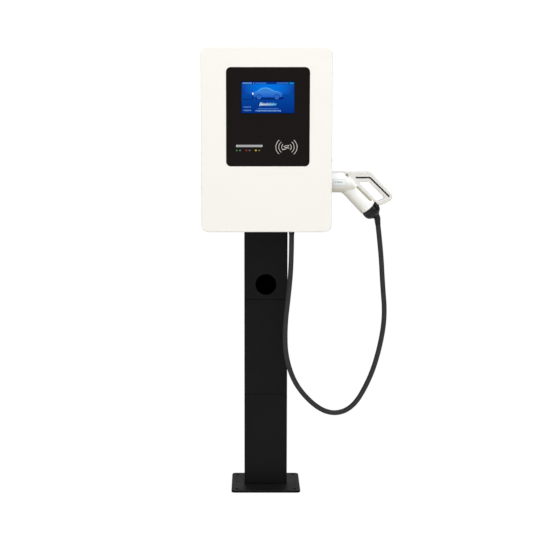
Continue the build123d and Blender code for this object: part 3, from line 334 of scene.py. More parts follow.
def screen_material():
    """Lit display: a bright sky above the horizon, and a darker ground below it."""
    s = Shader("screen", (0.0, 0.001, 0.002), 0.25, specular=0.02)
    low, high = LCD
    split = s.node("ShaderNodeSeparateXYZ")
    s.link(s.coords, split.inputs["Vector"])
    across = s.remap(split.outputs["X"], -1.0, 1.0, low.x, high.x, clamp=False)
    height = s.remap(split.outputs["Z"], 0.0, 1.0, low.z, high.z, clamp=False)
    wide = s.math("MULTIPLY", across, across)
    drop = s.math("SUBTRACT", 0.93, height)
    deep = s.math("MULTIPLY", s.math("MULTIPLY", drop, drop), 2.2)
    glow = s.remap(s.math("ADD", wide, deep), 1.0, 0.0, 0.0, 1.05)
    sky = s.mix(glow, lin(14, 60, 150), lin(0, 116, 228))
    ground = s.mix(s.remap(height, 0.0, 1.0, 0.0, 0.6), lin(0, 46, 132), lin(4, 70, 160))
    above = s.math("GREATER_THAN", height, 1.0 - HORIZON)
    from_middle = s.math("ABSOLUTE", s.math("SUBTRACT", height, 0.5))
    lit = s.math("MULTIPLY", s.math("LESS_THAN", s.math("ABSOLUTE", across), 1.0),
                 s.math("LESS_THAN", from_middle, 0.5))
    front = s.math("LESS_THAN", split.outputs["Y"], low.y + 1.0 * MM)
    lit = s.math("MULTIPLY", lit, front)
    picture = s.mix(above, ground, sky)
    s.link(s.mix(lit, (0.0, 0.0, 0.0), picture), s.bsdf.inputs["Emission Color"])
    s.link(s.mix(front, (0.30, 0.31, 0.32), (0.0, 0.001, 0.002)), s.bsdf.inputs["Base Color"])
    s.set("Emission Strength", 1.0)
    return s.vary_rough(80.0, 0.2, 0.3)


def tinted(name, socket, rough, specular=0.3):
    """Material whose colour is the piece's own tint, drifting by a few percent."""
    s = Shader(name, (0.001, 0.001, 0.001), rough, specular=specular)
    tint = s.node("ShaderNodeAttribute", attribute_name="tint").outputs["Color"]
    drift = s.remap(s.noise(400.0, detail=2.0), 0.0, 0.12)
    s.link(s.mix(drift, tint, (0.0, 0.0, 0.0)), s.bsdf.inputs[socket])
    s.vary_rough(200.0, rough - 0.05, rough + 0.05)
    return s


def shell_plastic():
    """Satin shells: white barrel and grip, a greyer guard loop, and painted shade: a warm grey-beige on
    faces that point down.
    """
    s = moulded("shell_plastic", lin(247, 248, 246), 0.34, grain=0.25, tone=0.03)
    base = s.bsdf.inputs["Base Color"]
    place = s.node("ShaderNodeSeparateXYZ")
    s.link(s.coords, place.inputs["Vector"])
    # the guard is flatter than the barrel and grip, so the distance from the middle plane tells them apart
    out = s.math("ABSOLUTE", s.math("SUBTRACT", place.outputs["Y"], DOCK.y))
    barrel = s.remap(out, 0.0, 1.0, 14.4 * MM, 15.4 * MM)
    tone = s.mix(barrel, lin(224, 222, 218), base.links[0].from_socket)
    facing = s.node("ShaderNodeSeparateXYZ")
    s.link(s.node("ShaderNodeNewGeometry").outputs["Normal"], facing.inputs["Vector"])
    # painted shade: faces that point down are mixed towards a warm grey-beige
    under = s.remap(facing.outputs["Z"], 0.0, 0.8, 0.1, -0.75)
    s.link(s.mix(under, tone, lin(222, 215, 196)), base)
    return s


def base_coat():
    """The base plate's coat, with painted shade: its edges and sides darker than its top, which is also
    shinier.
    """
    s = powder_coat("coat_base", lin(23, 23, 23), 0.46, specular=0.5, tone=0.25)
    base = s.bsdf.inputs["Base Color"]
    facing = s.node("ShaderNodeSeparateXYZ")
    s.link(s.node("ShaderNodeNewGeometry").outputs["Normal"], facing.inputs["Vector"])
    # painted shade: faces that don't point up are mixed towards a darker grey
    upward = s.remap(facing.outputs["Z"], 0.0, 1.0, 0.3, 0.8)
    s.link(s.mix(upward, lin(17, 17, 17), base.links[0].from_socket), base)
    s.link(s.remap(facing.outputs["Z"], 0.1, 0.5, 0.3, 0.8), s.bsdf.inputs["Specular IOR Level"])
    return s


MATERIALS = {
    "coat_white": powder_coat("coat_white", (0.91, 0.89, 0.83), 0.42, tone=0.02),
    "coat_black": powder_coat("coat_black", lin(14, 14, 14), 0.5, specular=0.22, tone=0.25),
    "coat_base": base_coat(),
    "black_steel": metal("black_steel", (0.05, 0.05, 0.045), 0.4, metallic=0.6),
    "zinc_steel": zinc_plate(),
    "alloy": metal("alloy", (0.52, 0.53, 0.54), 0.42, (1.0, 1.0, 12.0)),
    "chrome": metal("chrome", (0.72, 0.72, 0.73), 0.16, (8.0, 1.0, 1.0)),
    "brass": metal("brass", (0.66, 0.47, 0.20), 0.3, (12.0, 1.0, 1.0)),
    "contact_metal": metal("contact_metal", (0.74, 0.72, 0.66), 0.22, (12.0, 1.0, 1.0)),
    "rubber_black": rubber("rubber_black", lin(30, 30, 31)),
    "plastic_black": moulded("plastic_black", lin(22, 22, 22), 0.5),
    "plastic_nut": moulded("plastic_nut", (0.0018, 0.0026, 0.0034), 0.27, specular=0.6),
    "plastic_device": moulded("plastic_device", (0.50, 0.51, 0.52), 0.45),
    "plastic_toggle": moulded("plastic_toggle", (0.018, 0.018, 0.02), 0.35),
    "shell_plastic": shell_plastic(),
    "board_green": circuit_board(),
    "cable_jacket": cable_jacket(),
    "panel_glass": panel_glass(),
    "bar_lens": light_bar_lens(),
    "led_green": lens("led_green", lin(20, 110, 20), 0.7),
    "led_red": lens("led_red", lin(140, 10, 10), 0.7),
    "led_yellow": lens("led_yellow", lin(180, 160, 20), 0.65),
    "screen": screen_material(),
    "screen_art": tinted("screen_art", "Emission Color", 0.25, 0.02),
    "screw_head": metal("screw_head", lin(150, 144, 120), 0.45, metallic=0.2),
    "print_ink": tinted("print_ink", "Base Color", 0.5),
    # painted shade: olive-grey that stands for the shadow in the grip's recesses
    "recess_shade": moulded("recess_shade", lin(178, 174, 152), 0.5, tone=0.15),
}
MATERIALS["screen_art"].set("Emission Strength", 1.0)


def paint(obj, slot):
    """Gives a piece one of the materials, and only that one."""
    obj.data.materials.clear()
    obj.data.materials.append(MATERIALS[slot].mat)
    return obj


SLOT_OF = {part["node"]: part["material_slot"] for part in frame["record"]["subparts"]}
for node_name, node_obj in NODES.items():
    paint(node_obj, SLOT_OF[node_name])
paint(NODES["connector_screws"], "screw_head")      # paler than the black steel of their slot

BEVELS = {                      # edge radius in millimetres
    "base_plate": 0.5, "column_spine": 0.8, "column_cover_lower": 0.8, "column_cover_middle": 0.8,
    "column_cover_upper": 0.8, "column_cap": 1.0, "door_panel": 0.8, "cabinet_shell": 0.6,
    "display_glass": 0.3, "main_breaker": 0.6, "energy_meter": 0.6, "terminal_block": 0.5,
    "dc_contactors": 0.8, "power_module": 0.6, "aux_power_supply": 0.6, "breaker_toggle": 0.5,
    "connector_holster": 0.5, "output_gland_body": 0.4, "output_gland_nut": 0.5, "lock_housing": 0.3,
    "earth_bar": 0.3, "fan_frames": 0.5,
}


def soften_edges():
    """Small bevels on the sharp edges of the plain nodes."""
    for node, width in BEVELS.items():
        weld = NODES[node].modifiers.new("weld", "WELD")
        weld.merge_threshold = 0.00002
        bevel = NODES[node].modifiers.new("bevel", "BEVEL")
        bevel.width = width * MM
        bevel.segments = 2
        bevel.limit_method = "ANGLE"
        bevel.angle_limit = math.radians(40)
        bevel.harden_normals = True
        bevel.use_clamp_overlap = True


soften_edges()


# ---- mesh helpers ----------------------------------------------------------------
def new_object(name, mesh, slot, smooth=True):
    """Adds a painted piece to the scene."""
    obj = bpy.data.objects.new(name, mesh)
    SCENE.collection.objects.link(obj)
    if smooth:
        mesh.shade_smooth()
    return paint(obj, slot)


def finish_mesh(name, bm, slot, smooth=True):
    """Turns a bmesh into a painted piece, with its faces pointing outwards."""
    bmesh.ops.recalc_face_normals(bm, faces=bm.faces)
    mesh = bpy.data.meshes.new(name)
    bm.to_mesh(mesh)
    bm.free()
    return new_object(name, mesh, slot, smooth)


def add_tube(bm, path, radius_at, sides=28, start=(0.0, 1.0, 0.0)):
    """Round tube along a path, with its radius a function of the length so far.

    start is the direction of each ring's first point, and isn't parallel to the path.
    """
    side = Vector(start)
    run, rings = 0.0, []
    for i, place in enumerate(path):
        ahead = path[min(i + 1, len(path) - 1)] - path[max(i - 1, 0)]
        ahead.normalize()
        side = (side - ahead * side.dot(ahead)).normalized()
        up = ahead.cross(side)
        if i:
            run += (place - path[i - 1]).length
        r = radius_at(run)
        rings.append([bm.verts.new(place + (side * math.cos(a) + up * math.sin(a)) * r)
                      for a in (2 * math.pi * k / sides for k in range(sides))])
    for a, b in zip(rings, rings[1:]):
        for k in range(sides):
            n = (k + 1) % sides
            bm.faces.new((a[k], b[k], b[n], a[n]))
    bm.faces.new(rings[0])
    bm.faces.new(list(reversed(rings[-1])))


def sweep(name, path, radius_at, slot, sides=28, start=(0.0, 1.0, 0.0)):
    """A single tube as a piece of its own."""
    bm = bmesh.new()
    add_tube(bm, path, radius_at, sides, start)
    return finish_mesh(name, bm, slot)


def dense(path, step):
    """The same line with points a fixed step apart."""
    made, left = [path[0].copy()], step
    for a, b in zip(path, path[1:]):
        run = (b - a).length
        while left <= run:
            made.append(a.lerp(b, left / run))
            left += step
        left -= run
    return made


def on_circle(x, z, r, degrees):
    """Point on a circle, seen from the front."""
    a = math.radians(degrees)
    return (x + r * math.cos(a), z + r * math.sin(a))


def arc(x, z, r, start, end, steps=16):
    """Points along an arc, its ends in degrees."""
    return [on_circle(x, z, r, start + (end - start) * i / steps) for i in range(steps + 1)]


def arc_band(x, z, r, start, end, width):
    """Outline of a round-ended band along an arc."""
    half = width / 2
    tip, tail = on_circle(x, z, r, end), on_circle(x, z, r, start)
    return (arc(x, z, r + half, start, end) + arc(*tip, half, end, end + 180, 8)[1:-1]
            + arc(x, z, r - half, end, start) + arc(*tail, half, start + 180, start + 360, 8)[1:-1])


def oblong(x0, z0, x1, z1):
    """Outline of a square-cornered bar."""
    return [(x0, z0), (x1, z0), (x1, z1), (x0, z1)]


def pill(x0, z0, x1, z1, width):
    """Outline of a round-ended bar between two points."""
    turn = math.degrees(math.atan2(z1 - z0, x1 - x0))
    return (arc(x1, z1, width / 2, turn - 90, turn + 90, 8)
            + arc(x0, z0, width / 2, turn + 90, turn + 270, 8))


class Plates:
    """Thin shapes that face -Y, gathered into one mesh, each with its own tint."""

    def __init__(self, y, thick):
        self.bm = bmesh.new()
        self.tint = self.bm.loops.layers.float_color.new("tint")
        self.y, self.thick = y, thick

    def add(self, outline, color, level=0):
        """outline is (x, z) in metres; color is a tuple, or a function of (x, z)."""
        shade = color if callable(color) else lambda x, z: color
        y = self.y - level * self.thick
        front = [self.bm.verts.new((x, y - self.thick * 0.8, z)) for x, z in outline]
        back = [self.bm.verts.new((x, y, z)) for x, z in outline]
        faces = [self.bm.faces.new(front), self.bm.faces.new(list(reversed(back)))]
        for i in range(len(outline)):
            n = (i + 1) % len(outline)
            faces.append(self.bm.faces.new((front[n], front[i], back[i], back[n])))
        for face in faces:
            for loop in face.loops:
                loop[self.tint] = (*shade(loop.vert.co.x, loop.vert.co.z), 1.0)

    def make(self, name, paint_slot, body):
        """The finished piece, with its paint and its body."""
        obj = finish_mesh(name, self.bm, paint_slot, smooth=False)
        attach(obj, body)
        return obj


# ---- charging cable ------------------------------------------------------------
CABLE_ROUTE = [
    (86, -102, 914), (86, -102, 806), (77, -103, 698), (64, -105, 588), (67, -108, 475),
    (108, -111, 368), (204, -114, 281), (294, -114, 296), (356, -112, 404), (389, -109, 513),
    (406, -106, 623), (396, -104, 733), (389, -103, 846), (376, -102, 951),
]
CABLE_R = 8.5 * MM
GRIP_ANGLE = math.radians(46.4)
GRIP_DIR = Vector((math.cos(GRIP_ANGLE), 0.0, -math.sin(GRIP_ANGLE)))
GRIP_UP = Vector((math.sin(GRIP_ANGLE), 0.0, math.cos(GRIP_ANGLE)))
GRIP_TIP = Vector((343.5, -102.0, 995.1)) * MM
NUT_LENGTH = 42 * MM


def route_curve(name, points):
    """NURBS curve through a route's control points, in metres."""
    data = bpy.data.curves.new(name, "CURVE")
    data.dimensions = "3D"
    data.resolution_u = 12
    spline = data.splines.new("NURBS")
    spline.points.add(len(points) - 1)
    for point, place in zip(spline.points, points):
        point.co = (*place, 1.0)
    spline.order_u = 3
    spline.use_endpoint_u = True
    return data


def curve_points(name, points):
    """Points close together along a route's curve."""
    obj = bpy.data.objects.new(name, route_curve(name, points))
    SCENE.collection.objects.link(obj)
    mesh = bpy.data.meshes.new_from_object(obj)
    made = [v.co.copy() for v in mesh.vertices]
    bpy.data.objects.remove(obj)
    bpy.data.meshes.remove(mesh)
    return made


CABLE_LINE = curve_points("route", [tuple(c * MM for c in p) for p in CABLE_ROUTE])
cable = sweep("cable", CABLE_LINE, lambda run: CABLE_R, "cable_jacket")
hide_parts("charging_cable")
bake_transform(cable)


GROOVE = 0.5 * MM               # depth of the nut sleeve's grooves
GROOVE_ABOVE = 0.72             # a groove is where the wave along the sleeve is above this
SLEEVE_STEP = 0.6               # mm between the nut sleeve's rings


def ribbed(big, small, length, pitch):
    """Radius of a tapered sleeve with shallow grooves."""
    def radius(run):
        taper = big + (small - big) * min(1.0, run / length)
        wave = 0.5 - 0.5 * math.cos(2 * math.pi * run / pitch)
        return taper - GROOVE * (1.0 if wave > GROOVE_ABOVE else 0.0)
    return radius


def nut_sleeve():
    """Tapered rubber sleeve that turns the cable down out of the gland nut."""
    start = GRIP_TIP + GRIP_DIR * (NUT_LENGTH - 6 * MM)
    corner = GRIP_TIP + GRIP_DIR * (NUT_LENGTH + 6 * MM)
    tail = [p for p in reversed(CABLE_LINE) if (p - CABLE_LINE[-1]).length < 24 * MM]
    join = tail[0]
    bend = [start.lerp(corner, t).lerp(corner.lerp(join, t), t) for t in (i / 8 for i in range(9))]
    line = dense(bend + tail[1:], SLEEVE_STEP * MM)
    length = (len(line) - 1) * SLEEVE_STEP * MM
    sleeve = sweep("nut_sleeve", line, ribbed(11.6 * MM, 9.2 * MM, length, 4.6 * MM), "rubber_black")
    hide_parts("bend_sleeve")
    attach(sleeve, "connector")
    return sleeve


def gland_sleeve():
    """Tapered sleeve over the gland's lip, down onto the cable."""
    exit_point = CABLE_LINE[0]
    rise, rings = 16, 57                        # from this many mm above the exit, a ring each 0.5 mm
    waist, groove, pitch = 10.4 * MM, 0.4 * MM, 4.0 * MM
    line = [exit_point + Vector((0, 0, (rise - 0.5 * i) * MM)) for i in range(rings)]

    def radius(run):
        above = rise * MM - run
        taper = waist + above * 0.22 if above > 0 else waist + above * 0.11
        return taper - (groove if math.cos(2 * math.pi * run / pitch) < -0.4 else 0.0)

    sleeve = sweep("gland_sleeve", line, radius, "rubber_black")
    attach(sleeve, "post")


gland_sleeve()
NUT_SLEEVE = nut_sleeve()


# ---- display picture and panel marks ----------------------------------------------
def draw_screen():
    """Home picture of the display: a car on charge under a status bar."""
    low, high = LCD
    width, height = high.x - low.x, high.z - low.z
    art = Plates(low.y - 0.01 * MM, 0.05 * MM)

    def at(points):
        return [(low.x + u * width, high.z - v * height) for u, v in points]

    def rect(u0, v0, u1, v1, color, level=0, slant=0.0):
        art.add(at([(u0 + slant, v0), (u1 + slant, v0), (u1, v1), (u0, v1)]), color, level)

    def fade(left, right, u0, u1):
        def shade(x, z):
            t = min(1.0, max(0.0, ((x - low.x) / width - u0) / (u1 - u0)))
            return tuple(a + (b - a) * t for a, b in zip(left, right))
        return shade

    def sink(top, bottom, v0, v1):
        def shade(x, z):
            t = min(1.0, max(0.0, ((high.z - z) / height - v0) / (v1 - v0)))
            return tuple(a + (b - a) * t for a, b in zip(top, bottom))
        return shade

    def disc(u, v, r, color, level):
        x, z = low.x + u * width, high.z - v * height
        art.add(arc(x, z, r * width, 0, 345, 23), color, level)

    # status bar
    rect(0.0, 0.0, 1.0, 0.075, fade(lin(6, 52, 138), lin(0, 48, 138), 0.0, 0.6))
    for i in range(8):
        rect(0.018 + i * 0.0225, 0.02, 0.034 + i * 0.0225, 0.058, lin(122, 176, 240), 1, 0.003)
    rect(0.222, 0.018, 0.238, 0.062, lin(96, 146, 216), 1)
    rect(0.26, 0.026, 0.47, 0.054, lin(66, 130, 220), 1)
    for i in range(7):
        rect(0.67 + i * 0.0315, 0.02, 0.69 + i * 0.0315, 0.058, lin(76, 136, 214), 1)
    rect(0.906, 0.018, 0.99, 0.068, lin(16, 150, 196), 1)
    # ground shadow, cable and plug
    art.add(at([(0.25, 0.49), (0.79, 0.485), (0.80, 0.54), (0.74, 0.572), (0.28, 0.572)]),
            sink(lin(0, 26, 92), lin(0, 48, 130), 0.50, 0.572))
    wire = lin(2, 34, 104)
    rect(0.205, 0.40, 0.222, 0.535, wire)
    art.add(at([(0.205, 0.52), (0.222, 0.52), (0.218, 0.55), (0.20, 0.572), (0.175, 0.582),
                (0.175, 0.562), (0.192, 0.552)]), wire)
    rect(0.09, 0.562, 0.18, 0.582, wire)
    art.add(at([(0.016, 0.566), (0.05, 0.545), (0.085, 0.545), (0.10, 0.562), (0.10, 0.582),
                (0.07, 0.568), (0.05, 0.568), (0.016, 0.585)]), wire)
    x, z = low.x + 0.214 * width, high.z - 0.377 * height
    art.add(pill(x, z - 2 * MM, x, z + 2 * MM, 4.2 * MM), lin(232, 246, 252), 2)
    # car
    body = [(0.240, 0.49), (0.232, 0.43), (0.234, 0.345), (0.246, 0.312), (0.290, 0.288),
            (0.330, 0.250), (0.368, 0.205), (0.405, 0.186), (0.450, 0.179), (0.495, 0.186),
            (0.535, 0.205), (0.580, 0.248), (0.625, 0.290), (0.690, 0.297), (0.735, 0.320),
            (0.762, 0.362), (0.774, 0.420), (0.770, 0.465), (0.752, 0.488), (0.72, 0.497),
            (0.29, 0.497), (0.262, 0.49)]
    art.add(at(body), sink(lin(74, 154, 234), lin(22, 92, 202), 0.17, 0.50), 1)
    roof = [(0.300, 0.285), (0.335, 0.252), (0.372, 0.209), (0.407, 0.190), (0.450, 0.183),
            (0.493, 0.190), (0.532, 0.209), (0.577, 0.252), (0.618, 0.290), (0.690, 0.303),
            (0.690, 0.315), (0.610, 0.306), (0.560, 0.262), (0.520, 0.226), (0.490, 0.210),
            (0.450, 0.205), (0.410, 0.212), (0.380, 0.230), (0.345, 0.268), (0.310, 0.300)]
    art.add(at(roof), lin(92, 170, 244), 2)
    art.add(at([(0.345, 0.285), (0.385, 0.240), (0.415, 0.224), (0.450, 0.219), (0.487, 0.224),
                (0.515, 0.240), (0.562, 0.285)]), lin(52, 132, 218), 2)
    for u in (0.33, 0.67):
        disc(u, 0.475, 0.049, lin(8, 66, 166), 2)
        disc(u, 0.49, 0.037, lin(58, 118, 212), 3)
        disc(u, 0.49, 0.018, lin(22, 78, 176), 4)
    # generic marks where the captions stand
    bright = fade(lin(240, 250, 255), lin(70, 190, 245), 0.36, 0.66)
    u = 0.334
    for wide, top in ((0.011, 0.655), (0.011, 0.655), (0.010, 0.685), (0.010, 0.685), (0.012, 0.685),
                      (0.010, 0.655), (0.012, 0.685), (0.010, 0.655), (0.012, 0.685), (0.010, 0.655),
                      (0.012, 0.685), (0.012, 0.685)):
        rect(u, top, u + wide, 0.765, bright, 1, 0.024)
        u += wide + 0.0158
    rect(0.345, 0.705, 0.665, 0.725, bright, 2)
    for v, u0, u1, count, color in ((0.84, 0.305, 0.705, 14, lin(64, 116, 200)),
                                    (0.905, 0.262, 0.752, 15, lin(120, 164, 226)),
                                    (0.785, 0.035, 0.185, 5, lin(84, 130, 200)),
                                    (0.893, 0.035, 0.185, 5, lin(96, 140, 204))):
        step = (u1 - u0) / count
        for i in range(count):
            rect(u0 + i * step, v, u0 + (i + 0.78) * step, v + 0.032 + 0.006 * (i % 3), color, 1)
    art.make("screen_picture", "screen_art", "door")


def draw_panel_marks():
    """Printed marks on the glass: contactless symbol and a mark beside each indicator."""
    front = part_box("display_glass")[0].y
    marks = Plates(front - 0.005 * MM, 0.06 * MM)
    x, z = 65.0 * MM, 1197.6 * MM
    ink = lin(222, 218, 208)
    for radius, centre, sweep_half in ((29.0, 5.9, 50.0), (21.2, 4.1, 50.0), (13.0, 2.8, 46.0)):
        for side in (0, 180):
            sign = 1 if side == 0 else -1
            marks.add(arc_band(x + sign * centre * MM, z, radius * MM, side - sweep_half,
                               side + sweep_half, 1.6 * MM), ink)
    card = [pill(x - 3 * MM, z + 5 * MM, x + 8 * MM, z + 5.5 * MM, 1.4 * MM),
            pill(x + 8 * MM, z + 5.5 * MM, x + 3.5 * MM, z - 0.5 * MM, 1.4 * MM),
            pill(x - 3 * MM, z + 5 * MM, x - 7 * MM, z + 1 * MM, 1.4 * MM),
            pill(x - 9.5 * MM, z + 3 * MM, x + 0.5 * MM, z - 4 * MM, 1.4 * MM),
            pill(x - 3 * MM, z - 1 * MM, x + 8.5 * MM, z - 3.5 * MM, 1.8 * MM),
            pill(x - 11 * MM, z - 7.5 * MM, x - 3 * MM, z - 6.5 * MM, 2.2 * MM)]
    for i, outline in enumerate(card):
        marks.add(outline, ink, 1 + i)
    for node, color, wide in (("led_green", lin(126, 126, 116), 1.6),
                              ("led_red", lin(138, 136, 122), 1.6),
                              ("led_yellow", lin(128, 116, 84), 3.6)):
        low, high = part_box(node)
        cx, cz = (low.x + high.x) / 2 + 10.6 * MM, (low.z + high.z) / 2
        marks.add(pill(cx - wide / 2 * MM, cz, cx + wide / 2 * MM, cz,
                       3.4 * MM), color)
    marks.make("panel_marks", "print_ink", "door")


draw_screen()
draw_panel_marks()


# ---- connector -----------------------------------------------------------------------
def round_off(node, voxel, smooth, keep):
    """Rounds every edge of a moulded node a little, without touching its own mesh."""
    stack = NODES[node].modifiers
    stack.new("weld", "WELD").merge_threshold = 0.00001
    remesh = stack.new("remesh", "REMESH")
    remesh.mode = "VOXEL"
    remesh.voxel_size = voxel
    remesh.use_smooth_shade = True
    soften = stack.new("soften", "SMOOTH")
    soften.factor = 0.5
    soften.iterations = smooth
    stack.new("thin", "DECIMATE").ratio = keep


BARREL_R = 35.5 * MM


def rim(grid):
    """Points round the edge of a grid of rows, in order."""
    last = len(grid) - 1
    columns = len(grid[0]) - 1
    return ([grid[0][i] for i in range(columns)] + [grid[j][columns] for j in range(last)]
            + [grid[last][i] for i in range(columns, 0, -1)] + [grid[j][0] for j in range(last, 0, -1)])


def badge_plate():
    """Blank name plate let into the side of the barrel, with a slanted end."""
    x0, x1, z0, z1, slant = 223.0, 262.0, 1070.6, 1088.7, 7.0
    columns, rows, proud, thick = 26, 14, 0.45 * MM, 1.2 * MM
    bm = bmesh.new()
    grids = []
    for r in (BARREL_R + proud, BARREL_R + proud - thick):
        grid = []
        for j in range(rows + 1):
            z = (z0 + (z1 - z0) * j / rows) * MM
            end = x1 + slant * (1 - j / rows)
            y = DOCK.y - math.sqrt(r * r - (z - DOCK.z) ** 2)
            grid.append([bm.verts.new(((x0 + (end - x0) * i / columns) * MM, y, z))
                         for i in range(columns + 1)])
        grids.append(grid)
    for grid in grids:
        for j in range(rows):
            for i in range(columns):
                bm.faces.new((grid[j][i], grid[j][i + 1], grid[j + 1][i + 1], grid[j + 1][i]))
    front, back = grids
    a, b = rim(front), rim(back)
    for i in range(len(a)):
        n = (i + 1) % len(a)
        bm.faces.new((a[i], b[i], b[n], a[n]))
    plate = finish_mesh("badge_plate", bm, "badge_ink")
    bevel = plate.modifiers.new("bevel", "BEVEL")
    bevel.width = 0.35 * MM
    bevel.segments = 2
    bevel.limit_method = "ANGLE"
    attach(plate, "connector")


def badge_border():
    """Fine raised line round the name plate."""
    corners = [(222.2, 1069.8), (269.9, 1069.8), (262.6, 1089.5), (222.2, 1089.5)]
    made, steps = [], 12
    for i, (x, z) in enumerate(corners):
        nx, nz = corners[(i + 1) % 4]
        made += [(x + (nx - x) * t / steps, z + (nz - z) * t / steps) for t in range(steps)]
    r = BARREL_R + 0.1 * MM
    ring = [Vector((x * MM, DOCK.y - math.sqrt(r * r - (z * MM - DOCK.z) ** 2), z * MM)) for x, z in made]
    sides, half_width = 6, 0.45         # mm
    bm = bmesh.new()
    loops = []
    for i, place in enumerate(ring):
        ahead = (ring[(i + 1) % len(ring)] - ring[i - 1]).normalized()
        out = Vector((0.0, place.y - DOCK.y, place.z - DOCK.z)).normalized()
        side = ahead.cross(out)
        loops.append([bm.verts.new(place + (side * math.cos(a) + out * math.sin(a)) * half_width * MM)
                      for a in (math.pi * k / 3 for k in range(sides))])
    for i in range(len(loops)):
        a, b = loops[i], loops[(i + 1) % len(loops)]
        for k in range(sides):
            n = (k + 1) % sides
            bm.faces.new((a[k], b[k], b[n], a[n]))
    border = finish_mesh("badge_border", bm, "border_ink")
    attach(border, "connector")


def badge_mark():
    """A plain bar and dot moulded on the plate."""
    marks = Plates(DOCK.y - BARREL_R - 0.38 * MM, 0.2 * MM)
    z = 1080.5 * MM
    grey = lin(172, 184, 190)
    marks.add(pill(236 * MM, z, 252 * MM, z, 3.4 * MM), grey)
    marks.add(pill(229.4 * MM, z, 229.6 * MM, z, 4.6 * MM), grey)
    marks.make("badge_mark", "print_ink", "connector")


def recess_shade_plates():
    """Olive-grey plates on the floors of the long recesses, front and back: painted shade for the shadow in
    the recesses.
    """
    start = GRIP_TIP + GRIP_DIR * -0.075 + GRIP_UP * 0.0195
    end = GRIP_TIP + GRIP_DIR * -0.0135 + GRIP_UP * 0.0215
    made = []
    for name, floor in (("recess_shade_front", -15.0 - 0.05), ("recess_shade_back", 15.0 + 0.75)):
        shade_plate = Plates(DOCK.y + floor * MM, 0.9 * MM)
        # painted shade: the plate's olive-grey stands for the recess's shadow
        shade_plate.add(pill(start.x, start.z, end.x, end.z, 8.1 * MM), lin(178, 174, 152))
        made.append(shade_plate.make(name, "recess_shade", "connector"))
    return made


MATERIALS["badge_ink"] = moulded("badge_ink", lin(240, 243, 243), 0.3, grain=0.1, tone=0.03)
round_off("connector_shell_front", 0.5 * MM, 6, 0.25)
round_off("connector_shell_back", 0.5 * MM, 6, 0.25)
round_off("gland_nut", 0.4 * MM, 1, 0.5)
MATERIALS["border_ink"] = moulded("border_ink", lin(190, 204, 208), 0.4, tone=0.1)
badge_plate()
badge_border()
badge_mark()
RECESS_SHADE_PLATES = recess_shade_plates()


# ---- wiring inside the cabinet -------------------------------------------------------
ACROSS_WIRES = (0.31, 0.17, 0.05)       # a direction that no wire runs along
STUD_X_MINUS, STUD_X_PLUS = -44.0, -128.0     # the contactors' output studs


def wires(name, runs, radius, color):
    """Insulated wires of one colour, each along a curve through its own points in mm."""
    MATERIALS[name] = moulded(name, color, 0.42, grain=0.3, tone=0.12)
    bm = bmesh.new()
    for run in runs:
        line = curve_points(name, [tuple(c * MM for c in p) for p in run])
        add_tube(bm, line, lambda length: radius * MM, sides=12, start=ACROSS_WIRES)
    piece = finish_mesh(name, bm, name)
    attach(piece, "post")


def supply_run(i):
    """From the grommet in the back panel, forward and down to one supply terminal."""
    x = -11 + 14 * i
    return [(-8 + 4 * i, -37, 1046), (-8 + 4 * i, -62, 1050), (x, -100, 1068), (x, -74, 1058),
            (x, -72, 1039.5)]


def breaker_run(i):
    """From a supply terminal under the rail devices' front to the breaker's upper side."""
    x = -169 + 18 * i
    return [(-9 + 14 * i, -80, 1039.5), (-9 + 14 * i, -84, 1050 + 2 * i), (-40, -70, 1058 + 2 * i),
            (-90 - 4 * i, -60, 1058 + 2 * i), (x + 14, -64, 1062), (x, -76, 1060), (x, -80, 1051.5)]


def output_run(x, y, lift, end_x):
    """From the output gland up to a contactor's stud."""
    return [(x, y, 968), (x, y, 1010), (x - 8, -112, 1052), (44, -124, 1058 + lift), (8, -126, 1086 + lift),
            (end_x + 24, -125, 1108 + lift), (end_x, -124, 1116), (end_x, -118, 1104)]


wires("wires_brown", [supply_run(0), breaker_run(0)], 2.0, lin(112, 62, 34))
wires("wires_black", [supply_run(1), breaker_run(1), output_run(90.5, -102, 6, STUD_X_MINUS)], 2.0,
      lin(26, 26, 27))
wires("wires_grey", [supply_run(2), breaker_run(2)], 2.0, lin(128, 130, 132))
wires("wires_blue", [supply_run(3), breaker_run(3)], 2.0, lin(34, 84, 158))
wires("wires_earth", [supply_run(4), [(45, -80, 981), (45, -84, 972), (66, -82, 972), (84, -78, 980),
                                      (90, -72, 988)]], 2.0, lin(78, 142, 46))
wires("wires_red", [output_run(81.5, -102, 14, STUD_X_PLUS)], 3.6, lin(168, 36, 28))
wires("wires_signal", [[(86 + 2.4 * i, -95, 968), (84 + 2.4 * i, -92, 1030), (118 + 2.4 * i, -84, 1130),
                        (46.5 + 2.4 * i, -96, 1230), (48 + 2.4 * i, -84, 1290),
                        (66, -80, 1308 + 26 * i)] for i in range(3)], 1.1, lin(214, 206, 184))


def meter_window():
    """Small display in the energy meter's front."""
    glass = Plates(-105.9 * MM, 0.3 * MM)
    glass.add(oblong(-81 * MM, 1011 * MM, -43 * MM, 1027 * MM), lin(120, 134, 104))
    for i in range(6):
        x = (-76.5 + 5.6 * i) * MM
        glass.add(oblong(x, 1014 * MM, x + 3.4 * MM, 1023 * MM), lin(44, 50, 38), 1)
    glass.make("meter_window", "print_ink", "post")


meter_window()


# ---- closures ----------------------------------------------------------------------
def turned(name, path, profile, slot):
    """Round piece along a short straight path, its radius stepping through the profile."""
    lengths = [0.0]
    for a, b in zip(path, path[1:]):
        lengths.append(lengths[-1] + (b - a).length)
    radii = dict(zip((round(run, 6) for run in lengths), profile))
    return sweep(name, path, lambda run: radii[round(run, 6)], slot, sides=48, start=(1.0, 0.0, 0.0))


